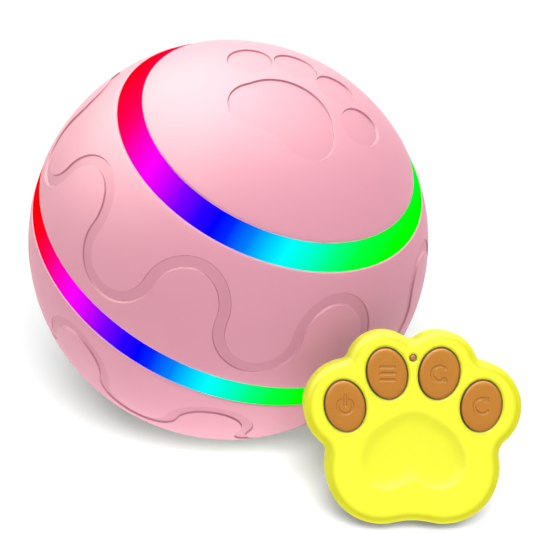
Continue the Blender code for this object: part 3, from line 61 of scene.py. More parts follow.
hair = 0.00001                        # two heights closer than this count as one
weldReach = 1e-7
sharpAngle = math.radians(38)
cornerShare = 0.3                     # how far in the middle point of an eased corner lies
splitting = {
    "shortestShare": 0.62,            # an edge under this share of the wanted length is left alone
    "besideShare": 0.8,               # how far beside a wall edges are split, as a share of that length
}


def shade(red, green, blue):
    # a colour given as on screen, 0 to 255, as the renderer wants it
    def linear(value):
        value = value / 255
        return value / 12.92 if value <= 0.04045 else ((value + 0.055) / 1.055) ** 2.4
    return (linear(red), linear(green), linear(blue), 1.0)


def easedStep(inside, wall):
    # 0 outside a recess and 1 inside, eased over the width of its wall
    t = min(max(inside / wall + 0.5, 0.0), 1.0)
    return t * t * (3 - 2 * t)


def wallShade(share):
    # painted shade: 1 halfway down the wall of a recess, 0 on the face and on the floor
    return 4 * share * (1 - share)


def treeOf(points):
    tree = KDTree(len(points))
    for i, point in enumerate(points):
        tree.insert(point, i)
    tree.balance()
    return tree


def addPiece(name, bm, place, finish, body, node):
    bmesh.ops.transform(bm, matrix=place, verts=bm.verts)
    mesh = bpy.data.meshes.new(name)
    bm.to_mesh(mesh)
    bm.free()
    mesh.shade_smooth()
    mesh.set_sharp_from_angle(angle=sharpAngle)
    mesh.materials.append(finish)
    piece = bpy.data.objects.new(name, mesh)
    bpy.context.scene.collection.objects.link(piece)
    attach(piece, body)
    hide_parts(node)
    return piece


def spunProfile(profile, segments, closed):
    # profile points are (distance from the axis, height); it is turned a full circle about Z
    bm = bmesh.new()
    verts = [bm.verts.new((across, 0, up)) for across, up in profile]
    edges = [bm.edges.new((verts[i - 1], verts[i])) for i in range(0 if closed else 1, len(verts))]
    bmesh.ops.spin(bm, geom=verts + edges, cent=(0, 0, 0), axis=(0, 0, 1), angle=math.tau,
                   steps=segments, use_merge=True)
    bmesh.ops.remove_doubles(bm, verts=bm.verts, dist=weldReach)
    bmesh.ops.recalc_face_normals(bm, faces=bm.faces)
    return bm


def easedCorner(out, up, edge, way):
    # three points round the corner of a turned profile; way is 1 where the solid lies above it, else -1
    near = cornerShare * edge
    return [(out, up + way * edge), (out - near, up + way * near), (out - edge, up)]


def stackedLoops(loops):
    # loops of equally many points, drawn out one from the other and closed at both ends
    bm = bmesh.new()
    verts = [bm.verts.new(point) for point in loops[0]]
    edges = [bm.edges.new((verts[i - 1], verts[i])) for i in range(len(verts))]
    bmesh.ops.contextual_create(bm, geom=edges)
    for loop in loops[1:]:
        order = {vert: i for i, vert in enumerate(verts)}
        made = bmesh.ops.extrude_edge_only(bm, edges=edges)["geom"]
        fresh = {item for item in made if isinstance(item, bmesh.types.BMVert)}
        placed = [None] * len(loop)
        for vert in fresh:
            for edge in vert.link_edges:
                other = edge.other_vert(vert)
                if other in order:
                    placed[order[other]] = vert
                    break
        for vert, point in zip(placed, loop):
            vert.co = point
        verts = placed
        edges = [item for item in made if isinstance(item, bmesh.types.BMEdge)
                 and item.verts[0] in fresh and item.verts[1] in fresh]
    closing = bmesh.ops.contextual_create(bm, geom=edges)["faces"]
    bmesh.ops.poke(bm, faces=closing)
    bmesh.ops.recalc_face_normals(bm, faces=bm.faces)
    return bm


def refine(bm, distanceOf, wall, start, finest, allowed):
    # splits edges near the wall of a recess until they are short enough to show it
    length = start
    while length > finest:
        near = []
        for edge in bm.edges:
            if edge.calc_length() < splitting["shortestShare"] * length:
                continue
            first, second = edge.verts
            if not (allowed(first.co) and allowed(second.co)):
                continue
            if abs(distanceOf((first.co + second.co) / 2)) < wall / 2 + splitting["besideShare"] * length:
                near.append(edge)
        bmesh.ops.subdivide_edges(bm, edges=near, cuts=1, use_grid_fill=True)
        length /= 2


def cutAway(bm, cutters):
    # exact cuts, made with Boolean modifiers on a throwaway object
    def throwaway(source):
        mesh = bpy.data.meshes.new("throwaway")
        source.to_mesh(mesh)
        source.free()
        thing = bpy.data.objects.new("throwaway", mesh)
        bpy.context.scene.collection.objects.link(thing)
        return thing
    base = throwaway(bm)
    tools = [throwaway(cutter) for cutter in cutters]
    for tool in tools:
        modifier = base.modifiers.new("cut", "BOOLEAN")
        modifier.operation = "DIFFERENCE"
        modifier.solver = "EXACT"
        modifier.object = tool
    cutMesh = base.evaluated_get(bpy.context.evaluated_depsgraph_get()).to_mesh()
    result = bmesh.new()
    result.from_mesh(cutMesh)
    for thing in [base] + tools:
        bpy.data.objects.remove(thing)
    return result


# materials

grainLook = {
    "detail": 3,
    "roughness": 0.6,
    "toneDetail": 2,
    "roughnessDrift": 0.04,           # either way
    "bumpDistance": 0.0001,
}


def buildGrain():
    # moulded plastic or rubber: a fine grain for the bump and a slow change of tone
    group = bpy.data.node_groups.new("mouldedGrain", "ShaderNodeTree")
    face = group.interface
    face.new_socket("Place", in_out="INPUT", socket_type="NodeSocketVector")
    face.new_socket("Grain Scale", in_out="INPUT", socket_type="NodeSocketFloat")
    face.new_socket("Tone Scale", in_out="INPUT", socket_type="NodeSocketFloat")
    face.new_socket("Height", in_out="OUTPUT", socket_type="NodeSocketFloat")
    face.new_socket("Tone", in_out="OUTPUT", socket_type="NodeSocketFloat")
    nodes, links = group.nodes, group.links
    source = nodes.new("NodeGroupInput")
    result = nodes.new("NodeGroupOutput")
    grain = nodes.new("ShaderNodeTexNoise")
    grain.inputs["Detail"].default_value = grainLook["detail"]
    grain.inputs["Roughness"].default_value = grainLook["roughness"]
    tone = nodes.new("ShaderNodeTexNoise")
    tone.inputs["Detail"].default_value = grainLook["toneDetail"]
    links.new(source.outputs["Place"], grain.inputs["Vector"])
    links.new(source.outputs["Place"], tone.inputs["Vector"])
    links.new(source.outputs["Grain Scale"], grain.inputs["Scale"])
    links.new(source.outputs["Tone Scale"], tone.inputs["Scale"])
    links.new(grain.outputs["Fac"], result.inputs["Height"])
    links.new(tone.outputs["Fac"], result.inputs["Tone"])
    return group


grainGroup = buildGrain()


def mouldedFinish(name, light, dark, roughness, grainScale=2500, toneScale=60, bump=0.06, paintedShadeColour=None,
                  **plain):
    # colour drifts between light and dark; painted shade, marked on the mesh, takes a third colour;
    # plain values go straight on the shader's own sockets
    finish = bpy.data.materials.new(name)
    finish.use_nodes = True
    nodes, links = finish.node_tree.nodes, finish.node_tree.links
    surface = nodes["Principled BSDF"]
    where = nodes.new("ShaderNodeTexCoord")
    grain = nodes.new("ShaderNodeGroup")
    grain.node_tree = grainGroup
    grain.inputs["Grain Scale"].default_value = grainScale
    grain.inputs["Tone Scale"].default_value = toneScale
    links.new(where.outputs["Object"], grain.inputs["Place"])
    colour = nodes.new("ShaderNodeMix")
    colour.data_type = "RGBA"
    colour.inputs["A"].default_value = shade(*dark)
    colour.inputs["B"].default_value = shade(*light)
    links.new(grain.outputs["Tone"], colour.inputs["Factor"])
    last = colour
    # painted shade: where the mesh is marked, the colour moves toward the darker recess colour
    if paintedShadeColour:
        paintedShade = nodes.new("ShaderNodeAttribute")
        paintedShade.attribute_name = "paintedShade"
        last = nodes.new("ShaderNodeMix")
        last.data_type = "RGBA"
        last.inputs["B"].default_value = shade(*paintedShadeColour)
        links.new(paintedShade.outputs["Fac"], last.inputs["Factor"])
        links.new(colour.outputs["Result"], last.inputs["A"])
    links.new(last.outputs["Result"], surface.inputs["Base Color"])
    rough = nodes.new("ShaderNodeMapRange")
    rough.inputs["To Min"].default_value = roughness + grainLook["roughnessDrift"]
    rough.inputs["To Max"].default_value = roughness - grainLook["roughnessDrift"]
    links.new(grain.outputs["Tone"], rough.inputs["Value"])
    links.new(rough.outputs["Result"], surface.inputs["Roughness"])
    relief = nodes.new("ShaderNodeBump")
    relief.inputs["Strength"].default_value = bump
    relief.inputs["Distance"].default_value = grainLook["bumpDistance"]
    links.new(grain.outputs["Height"], relief.inputs["Height"])
    links.new(relief.outputs["Normal"], surface.inputs["Normal"])
    for socket, value in plain.items():
        surface.inputs[socket.replace("_", " ")].default_value = value
    return finish


finishes = {
    # each recess colour is painted shade: in the skin's grooves and paw, on the cases' edges, well lips and
    # dish, in the keys' signs and on their sides, and in the screws' crosses
    "skin": mouldedFinish("softPinkRubber", (226, 155, 173), (221, 149, 167), 0.5, toneScale=35,
                          paintedShadeColour=(168, 92, 113), Specular_IOR_Level=0.4),
    "yellow": mouldedFinish("glossyYellowPlastic", (255, 255, 58), (252, 252, 50), 0.5, bump=0.03,
                            paintedShadeColour=(226, 224, 2), Specular_IOR_Level=0.3),
    "brown": mouldedFinish("caramelKeyRubber", (200, 130, 40), (192, 122, 32), 0.45,
                           paintedShadeColour=(104, 62, 18), Specular_IOR_Level=0.3),
    "shell": mouldedFinish("milkyShell", (232, 230, 226), (222, 220, 216), 0.35),
    "grey": mouldedFinish("greyPlastic", (118, 122, 128), (104, 108, 114), 0.5),
    "black": mouldedFinish("blackPlastic", (38, 39, 42), (26, 27, 30), 0.42),
    "acetal": mouldedFinish("whiteAcetal", (238, 236, 228), (228, 226, 218), 0.38),
    "steel": mouldedFinish("brushedSteel", (156, 158, 163), (132, 134, 140), 0.36, toneScale=400,
                           paintedShadeColour=(74, 76, 80), Metallic=1.0),
    "brass": mouldedFinish("contactBrass", (214, 178, 96), (190, 152, 74), 0.3, toneScale=300, Metallic=1.0),
    "wrap": mouldedFinish("cellWrap", (60, 112, 186), (44, 92, 166), 0.3),
    "board": mouldedFinish("boardLacquer", (34, 104, 66), (20, 82, 50), 0.35, toneScale=500),
    "lens": mouldedFinish("lampLens", (196, 128, 66), (178, 110, 50), 0.25),
    "ledWhite": mouldedFinish("lampWhite", (246, 244, 232), (236, 232, 214), 0.3),
    "rubber": mouldedFinish("sealRubber", (70, 70, 74), (52, 52, 56), 0.6),
}
nodeFinishes = {
    "shell": ("lower_shell", "upper_shell", "access_lid"),
    "grey": ("core_base", "core_cover", "gear_plate"),
    "black": ("power_button", "motor_end_cap", "power_switch"),
    "acetal": ("coupling_ring", "drive_hub", "upper_hub", "output_gear", "reduction_gear", "axle_bush"),
    "steel": ("drive_axle", "reduction_pin", "idler_pin", "drive_motor", "counterweight", "usb_socket",
              "coin_cell", "power_key_dome", "mode_key_dome", "turn_left_key_dome", "turn_right_key_dome"),
    "brass": ("motor_pinion", "battery_contact"),
    "wrap": ("battery_cell",),
    "board": ("control_board", "remote_board"),
    "ledWhite": ("ring_lamp_1", "ring_lamp_2", "ring_lamp_3", "ring_lamp_4"),
    "rubber": ("lid_seal",),
}
for finishName, nodeNames in nodeFinishes.items():
    for nodeName in nodeNames:
        for slot in frame["nodes"][nodeName].material_slots:
            slot.material = finishes[finishName]
print("materials ready:", len(finishes))


# the ball

ball = {
    "radius": 0.0390,
    "lean": math.radians(33.1),       # of the axis, from upright
    "heading": math.radians(-49.3),   # the way it leans
    "skin": 0.0027,                   # thickness
    "gap": 0.0003,
    "ringLatitude": math.radians(42.6),
    "ringWidth": 0.0046,
    "rimRound": 0.00030,
    "rimSteps": 4,
    "innerSteps": 6,
    "segments": 240,
    "rowStep": 0.0010,
    "finestEdge": 0.0001,             # edges by a groove are split down to this
}
ballFrame = (Matrix.Translation((0, 0, ball["radius"])) @ Matrix.Rotation(ball["heading"], 4, "Z")
             @ Matrix.Rotation(ball["lean"], 4, "Y"))
skinEdge = (ball["ringWidth"] / 2 + ball["gap"]) / ball["radius"]


def arcPoints(radius, start, end, steps):
    angles = [start + (end - start) * i / steps for i in range(steps + 1)]
    return [(radius * math.cos(angle), radius * math.sin(angle)) for angle in angles]


def rimPoints(edge, way):
    # the rounded edge of a skin, from its outer face to its side wall; way is where the skin lies
    curve = ball["rimRound"]
    core = ball["radius"] - curve
    points = []
    for i in range(ball["rimSteps"] + 1):
        turn = math.pi / 2 * i / ball["rimSteps"]
        reach = core + curve * math.cos(turn)
        latitude = edge + way * (curve - curve * math.sin(turn)) / core
        points.append((reach * math.cos(latitude), reach * math.sin(latitude)))
    return points


def skinProfile(top, bottom):
    # outer face from top to bottom, the lower rim, the inner face and the upper rim
    outerTop = top if top == math.pi / 2 else top - ball["rimRound"] / (ball["radius"] - ball["rimRound"])
    outerBottom = bottom + ball["rimRound"] / (ball["radius"] - ball["rimRound"])
    steps = round((outerTop - outerBottom) * ball["radius"] / ball["rowStep"])
    outer = arcPoints(ball["radius"], outerTop, outerBottom, steps)
    inner = arcPoints(ball["radius"] - ball["skin"], bottom, top, ball["innerSteps"])
    if top == math.pi / 2:
        return outer[:-1] + rimPoints(bottom, 1) + inner
    return outer[1:-1] + rimPoints(bottom, 1) + inner + rimPoints(top, -1)[::-1]


def spunSkin(profile, side, closed):
    # side is -1 for the lower skins, which are the upper ones turned over
    return spunProfile([(across, side * up) for across, up in profile], ball["segments"], closed)


def onOuterFace(point):
    return point.length > ball["radius"] - hair


def pressInto(bm, insideOf, depth, wall, floorShade):
    # lowers the outer face inside a recess and paints shade on its walls, and fainter painted shade on its
    # floor
    paint = bm.verts.layers.float.new("paintedShade")
    for vert in bm.verts:
        if onOuterFace(vert.co):
            share = easedStep(insideOf(vert.co), wall)
            vert.co = vert.co.normalized() * (ball["radius"] - depth * share)
            vert[paint] = floorShade * share + (1 - floorShade) * wallShade(share)


groove = {
    "latitude": math.radians(20.7),
    "bendRadius": 0.00747,
    "width": 0.0021,
    "depth": 0.0004,
    "wall": 0.00018,
    # how much painted shade the groove's floor takes
    "floorShade": 0.2,
    "waves": 8,
    "bendSteps": 160,
    "phase": math.radians(-10.9),
}


def grooveTree(side):
    # the wave is a chain of half circles that swing about one latitude
    points = []
    bends = 2 * groove["waves"]
    for bend in range(bends):
        way = 1 if bend % 2 == 0 else -1
        for i in range(groove["bendSteps"]):
            turn = math.pi * (1 - i / groove["bendSteps"])
            longitude = groove["phase"] + math.tau / bends * (bend + math.cos(turn) / 2)
            latitude = groove["latitude"] + way * groove["bendRadius"] / ball["radius"] * math.sin(turn)
            across = ball["radius"] * math.cos(latitude)
            points.append((across * math.cos(longitude), across * math.sin(longitude),
                           side * ball["radius"] * math.sin(latitude)))
    return treeOf(points)


def addBandSkin(side):
    bm = spunSkin(skinProfile(ball["ringLatitude"] - skinEdge, skinEdge), side, True)
    tree = grooveTree(side)

    def insideGroove(point):
        return groove["width"] / 2 - tree.find(point.normalized() * ball["radius"])[2]

    refine(bm, insideGroove, groove["wall"], ball["rowStep"], ball["finestEdge"], onOuterFace)
    pressInto(bm, insideGroove, groove["depth"], groove["wall"], groove["floorShade"])
    name = "upper_band_skin" if side > 0 else "lower_band_skin"
    piece = addPiece("wave_" + name, bm, ballFrame, finishes["skin"], "ball", name)
    piece.visible_diffuse = False     # no pink cast on the floor
    print("band skin done:", name)


paw = {
    "heading": math.radians(119.8),   # the way the toes point, about the axis
    "depth": 0.0004,
    "wall": 0.00018,
    # how much painted shade the paw's floor takes
    "floorShade": 0.1,
    "padRadius": 0.0097,
    "padBack": 0.0082,
    "sideLobe": 0.0052,
    "sideRadius": 0.0054,
    "shoulder": 0.0068,               # radius of the rounds between the pad's lobes
    "notch": 0.0102,                  # and of the one at its foot
    "toes": (                         # out, ahead, width, length, turn
        (0.0045, 0.0082, 0.0085, 0.0096, math.radians(-8.5)),
        (0.0121, 0.0034, 0.0082, 0.0104, math.radians(-9.5)),
    ),
    "lobeSteps": 300,
    "notchSteps": 80,
    "toeSteps": 400,
}


def notchCentre(first, second, fillet):
    # centre of the round that eases the notch between two lobes, on its outer side
    (a, ra), (b, rb) = first, second
    ra, rb = ra + fillet, rb + fillet
    between = b - a
    along = (ra ** 2 - rb ** 2 + between.length_squared) / (2 * between.length)
    aside = math.sqrt(ra ** 2 - along ** 2)
    way = between.normalized()
    return a + way * along + Vector((way.y, -way.x)) * aside


def turnsBetween(centre, first, last, way, steps):
    # turns about a centre from one point to another; way is 1 anticlockwise and -1 clockwise
    start = math.atan2(first.y - centre.y, first.x - centre.x)
    end = math.atan2(last.y - centre.y, last.x - centre.x)
    if way * (end - start) < 0:
        end += way * math.tau
    return [start + (end - start) * i / steps for i in range(steps + 1)]


def lobedOutline(lobes, fillets, inset, lobeSteps, notchSteps):
    # round lobes in anticlockwise order with an eased notch after each; gives points and outward ways
    rounds = [(Vector(centre), radius - inset) for centre, radius in lobes]
    notches = [notchCentre(rounds[i], rounds[(i + 1) % len(rounds)], fillets[i] + inset)
               for i in range(len(rounds))]
    points = []
    for i, (centre, radius) in enumerate(rounds):
        for turn in turnsBetween(centre, notches[i - 1], notches[i], 1, lobeSteps):
            out = Vector((math.cos(turn), math.sin(turn)))
            points.append((centre + out * radius, out))
        nextCentre = rounds[(i + 1) % len(rounds)][0]
        for turn in turnsBetween(notches[i], centre, nextCentre, -1, notchSteps)[1:-1]:
            out = Vector((math.cos(turn), math.sin(turn)))
            points.append((notches[i] + out * (fillets[i] + inset), -out))
    return points


def ovalOutline(centre, halfWidth, halfLength, turn, steps):
    points = []
    rotation = Matrix.Rotation(turn, 2)
    for k in range(steps):
        angle = math.tau * k / steps
        point = Vector((halfWidth * math.cos(angle), halfLength * math.sin(angle)))
        out = Vector((math.cos(angle) / halfWidth, math.sin(angle) / halfLength)).normalized()
        points.append((Vector(centre) + rotation @ point, rotation @ out))
    return points


def insideOutlines(outlines):
    # how far a flat point lies inside the nearest outline, negative outside
    samples = [sample for outline in outlines for sample in outline]
    tree = treeOf([(point.x, point.y, 0) for point, _ in samples])

    def inside(point):
        nearest, index, distance = tree.find((point.x, point.y, 0))
        out = samples[index][1]
        return distance if (point.x - nearest.x) * out.x + (point.y - nearest.y) * out.y < 0 else -distance

    return inside


def addCapSkin(side):
    bm = spunSkin(skinProfile(math.pi / 2, ball["ringLatitude"] + skinEdge), side, False)
    back = -paw["padBack"]
    lobes = [((paw["sideLobe"], back), paw["sideRadius"]), ((0, back), paw["padRadius"]),
             ((-paw["sideLobe"], back), paw["sideRadius"])]
    notches = (paw["shoulder"], paw["shoulder"], paw["notch"])
    outlines = [lobedOutline(lobes, notches, 0, paw["lobeSteps"], paw["notchSteps"])]
    for out, ahead, width, length, turn in paw["toes"]:
        for way in (1, -1):
            outlines.append(ovalOutline((way * out, ahead), width / 2, length / 2, way * turn,
                                        paw["toeSteps"]))
    inside = insideOutlines(outlines)
    turnBack = math.pi / 2 - paw["heading"]

    def insidePaw(point):
        # along the surface from the pole, with the paw's own up along +Y
        reach = ball["radius"] * math.atan2(math.hypot(point.x, point.y), side * point.z)
        angle = math.atan2(point.y, point.x) + turnBack
        return inside(Vector((reach * math.cos(angle), reach * math.sin(angle))))

    refine(bm, insidePaw, paw["wall"], ball["rowStep"], ball["finestEdge"], onOuterFace)
    pressInto(bm, insidePaw, paw["depth"], paw["wall"], paw["floorShade"])
    name, body = ("upper_cap_skin", "lid") if side > 0 else ("lower_cap_skin", "ball")
    piece = addPiece("paw_" + name, bm, ballFrame, finishes["skin"], body, name)
    piece.visible_diffuse = False
    print("cap skin done:", name)


rings = {
    "setBack": 0.00010,
    "spare": 0.00022,                 # how far a ring reaches into the gap on each side
    "edgeRound": 0.00010,
    "faceSteps": 12,
    "seatSteps": 3,
    "glow": 1.0,
    "roughness": 0.6,
    "sweep": math.radians(-60),       # the colours change square to this heading, straight across the ball
    "hues": ((255, 0, 10), (255, 0, 30), (255, 0, 85), (255, 0, 128), (255, 0, 255), (128, 0, 255),
             (45, 0, 255), (0, 0, 255), (0, 40, 255), (0, 128, 255), (0, 255, 255), (0, 255, 128),
             (0, 255, 60), (0, 255, 0)),
    # where each hue lies, from -1 at one side of the ball to 1 at the other
    "upperShares": (-0.90, -0.75, -0.62, -0.56, -0.38, -0.185, -0.077, 0.01, 0.08, 0.177, 0.338,
                    0.523, 0.608, 0.72),
    "otherShares": (-0.81, -0.735, -0.655, -0.60, -0.42, -0.22, -0.105, -0.015, 0.052, 0.155, 0.325,
                    0.517, 0.604, 0.71),
}


def ringFinish(name, shares):
    # glowing light guide: the hue changes along one straight line across the ball
    finish = bpy.data.materials.new(name)
    finish.use_nodes = True
    nodes, links = finish.node_tree.nodes, finish.node_tree.links
    surface = nodes["Principled BSDF"]
    where = nodes.new("ShaderNodeTexCoord")
    turned = nodes.new("ShaderNodeMapping")
    turned.vector_type = "TEXTURE"
    sweepFrame = ballFrame @ Matrix.Rotation(rings["sweep"], 4, "Z")
    turned.inputs["Location"].default_value = ballFrame.translation
    turned.inputs["Rotation"].default_value = sweepFrame.to_euler()
    parts = nodes.new("ShaderNodeSeparateXYZ")
    share = nodes.new("ShaderNodeMapRange")
    share.inputs["From Min"].default_value = rings["setBack"] - ball["radius"]
    share.inputs["From Max"].default_value = ball["radius"] - rings["setBack"]
    ramp = nodes.new("ShaderNodeValToRGB")
    stops = ramp.color_ramp.elements
    for i, (across, hue) in enumerate(zip(shares, rings["hues"])):
        stop = stops[i] if i < 2 else stops.new(1.0)    # a new ramp has two stops already
        stop.position = across / 2 + 0.5
        stop.color = shade(*hue)
    links.new(where.outputs["Object"], turned.inputs["Vector"])
    links.new(turned.outputs["Vector"], parts.inputs["Vector"])
    links.new(parts.outputs["Y"], share.inputs["Value"])
    links.new(share.outputs["Result"], ramp.inputs["Fac"])
    links.new(ramp.outputs["Color"], surface.inputs["Emission Color"])
    surface.inputs["Emission Strength"].default_value = rings["glow"]
    surface.inputs["Base Color"].default_value = (0.0, 0.0, 0.0, 1.0)
    surface.inputs["Roughness"].default_value = rings["roughness"]
    surface.inputs["Specular IOR Level"].default_value = 0.0
    return finish


def addRing(name, latitude, finish):
    reach = ball["radius"] - rings["setBack"]
    half = (ball["ringWidth"] / 2 + rings["spare"]) / ball["radius"]
    curve = rings["edgeRound"] / ball["radius"]
    seat = ball["radius"] - ball["skin"]
    ease = reach - rings["edgeRound"]
    profile = arcPoints(reach, latitude + half - curve, latitude - half + curve, rings["faceSteps"])
    profile.append((ease * math.cos(latitude - half), ease * math.sin(latitude - half)))
    profile += arcPoints(seat, latitude - half, latitude + half, rings["seatSteps"])
    profile.append((ease * math.cos(latitude + half), ease * math.sin(latitude + half)))
    bm = spunProfile(profile, ball["segments"], True)
    piece = addPiece("glow_" + name, bm, ballFrame, finish, "ball", name)
    piece.visible_diffuse = False     # its light doesn't colour the floor


for side in (1, -1):
    addBandSkin(side)
    addCapSkin(side)
upperGlow = ringFinish("upperRingGlow", rings["upperShares"])
otherGlow = ringFinish("otherRingGlow", rings["otherShares"])
addRing("upper_light_ring", ball["ringLatitude"], upperGlow)
addRing("middle_light_ring", 0.0, otherGlow)
addRing("lower_light_ring", -ball["ringLatitude"], otherGlow)
print("ball done")


# the remote

remote = {
    "place": (0.0327, -0.0399051, 0.0171252),
    "lean": math.radians(18.0),
    "face": 0.0050,                   # half the thickness
    "wall": 0.0016,
    "ceiling": 0.0032,
    "floor": -0.0036,
    "seam": 0.00015,                  # half the gap between the two cases
    "shoulder": 0.0018,
    "backEdge": 0.0012,
    "lobes": (((0.01097, 0.00372), 0.00794), ((0.00486, 0.01036), 0.00650),
              ((-0.00486, 0.01036), 0.00650), ((-0.01097, 0.00372), 0.00794),
              ((-0.00536, -0.00694), 0.00977), ((0.00536, -0.00694), 0.00977)),
    "fillets": (0.0016, 0.0016, 0.0016, 0.0030, 0.0130, 0.0030),    # radius of the round after each lobe
    "middle": Vector((0, -0.0010)),
    "keyWell": 0.0002,
    "lip": 0.00045,                   # the rounded edge of a key's well
    "lipDrop": 0.00022,
    # painted shade on the lip round each key's well
    "lipShade": 0.6,
    "edgeFade": 0.0001,               # how far below the face the painted shade on the rounded edge is complete
    "lobeSteps": 22,
    "notchSteps": 9,
    "edgeSteps": 8,
    "ringCount": 16,                  # rings of faces from the edge to the middle of a face
    "wallShares": (0.15, 0.5, 0.8),   # rings inside, from the middle to the edge
    "wellSteps": 240,
    "longestEdge": 0.0011,
    "dishEdge": 0.0003,               # edges are split down to this in the dish
    "wellEdge": 0.00016,              # and to this by the wells
    "cutSpare": 0.001,                # how far a cutter reaches past a face
    "cutSegments": 72,
}
remoteFrame = Matrix.Translation(remote["place"]) @ Matrix.Rotation(math.pi / 2 - remote["lean"], 4, "X")
keys = {
    "halfWidth": 0.00350,
    "halfLength": 0.00445,
    "turn": math.radians(11),
    "crown": 0.0004,
    "base": 0.0024,
    "baseInset": 0.0014,
    "lip": (0.00005, 0.0002),         # in from the side at the case's face, and below that face
    "rounding": ((0.00018, 0.00018), (0.00040, 0.00007), (0.00075, 0.0)),    # in, below the crown
    "sideSteps": 72,
    "ringCount": 12,
    "rimDepth": 0.00016,              # painted shade darkens the key's side from here down
    "rimFade": 0.0001,
    # node, place, way of its turn, body
    "places": (("power_key", (-0.01176, 0.0039), 1, "outer_left_button"),
               ("mode_key", (-0.0045, 0.0095), 1, "inner_left_button"),
               ("turn_left_key", (0.0045, 0.0095), -1, "inner_right_button"),
               ("turn_right_key", (0.01176, 0.0039), -1, "outer_right_button")),
}
lamp = {
    "radius": 0.0005,
    "place": (0.0, 0.01218),
    "base": 0.0010,
    "dome": 0.0002,                   # height of its rounded top
    "domeTurns": (20, 40, 60, 80),
    "segments": 32,
    "wellSteps": 80,
    "wellTurn": 0.02,                 # keeps the points of this well off those of the case
}
dish = {
    "depth": 0.0010,
    # painted shade in the dish
    "tone": 0.08,
    "slopeShade": 8,                   # how much more of that painted shade its slope takes
    "ease": 0.0026,                   # how far in from its edge the dish is at full depth
    "rounds": (((0, -0.0028), 0.0057), ((-0.0036, -0.0037), 0.0044), ((0.0036, -0.0037), 0.0044),
               ((-0.0046, -0.0061), 0.0045), ((0.0046, -0.0061), 0.0045)),
    "blend": 0.0007,
}


def caseLoop(inset, height):
    outline = lobedOutline(remote["lobes"], remote["fillets"], inset, remote["lobeSteps"],
                           remote["notchSteps"])
    return [(point.x, point.y, height) for point, _ in outline]


def towardMiddle(loop, share):
    middle = remote["middle"]
    return [(middle.x + (x - middle.x) * share, middle.y + (y - middle.y) * share, z) for x, y, z in loop]


def roundedEdge(curve, face):
    # loops from the side wall round to the flat face, outside in
    way = 1 if face > 0 else -1
    loops = []
    for i in range(remote["edgeSteps"] + 1):
        turn = math.pi / 2 * i / remote["edgeSteps"]
        loops.append(caseLoop(curve * (1 - math.cos(turn)), face - way * curve * (1 - math.sin(turn))))
    return loops


def caseShell(seam, inner, curve, face):
    # a half case: inside first, then over the seam and the side wall to the outer face
    ceiling = caseLoop(remote["wall"], inner)
    flat = caseLoop(curve, face)
    shares = [1 - i / remote["ringCount"] for i in range(1, remote["ringCount"])]
    loops = [towardMiddle(ceiling, share) for share in remote["wallShares"]]
    loops += [ceiling, caseLoop(remote["wall"], seam), caseLoop(0, seam)]
    loops += roundedEdge(curve, face)
    loops += [towardMiddle(flat, share) for share in shares]
    return stackedLoops(loops)


def insideDish(point):
    # rounds melted into one pad shape; the notch between the lower two leaves a small ridge
    total = 0.0
    for (cx, cy), radius in dish["rounds"]:
        total += math.exp((radius - math.hypot(point.x - cx, point.y - cy)) / dish["blend"])
    return dish["blend"] * math.log(total)


def dishShare(point):
    share = min(max(insideDish(point) / dish["ease"], 0.0), 1.0)
    return share * (2 - share)


def ovalPrism(place, halfWidth, halfLength, turn, low, high):
    bm = bmesh.new()
    bmesh.ops.create_cone(bm, cap_ends=True, segments=remote["cutSegments"], radius1=1, radius2=1,
                          depth=high - low)
    bmesh.ops.scale(bm, vec=(halfWidth, halfLength, 1), verts=bm.verts)
    bmesh.ops.rotate(bm, cent=(0, 0, 0), matrix=Matrix.Rotation(turn, 3, "Z"), verts=bm.verts)
    bmesh.ops.translate(bm, vec=(*place, (low + high) / 2), verts=bm.verts)
    return bm


def paintEdges(bm, insideWells=None):
    # the rounded edge of a case, and the lips of its wells, take painted shade, and so does the dish
    paint = bm.verts.layers.float.new("paintedShade")
    for vert in bm.verts:
        onTop = insideWells and vert.co.z > 0
        dip = dishShare(vert.co) if onTop else 0.0
        below = remote["face"] - abs(vert.co.z) - dish["depth"] * dip
        share = min(max(below / remote["edgeFade"], 0.0), 1.0)
        if onTop:
            nearWell = min(max(1 + insideWells(vert.co) / remote["lip"], 0.0), 1.0)
            # painted shade in the dish, strongest on its slope
            tone = dish["tone"] * (dip + dish["slopeShade"] * dip * (1 - dip))
            share = max(min(share, 1 - nearWell), nearWell * remote["lipShade"], tone)
        vert[paint] = share


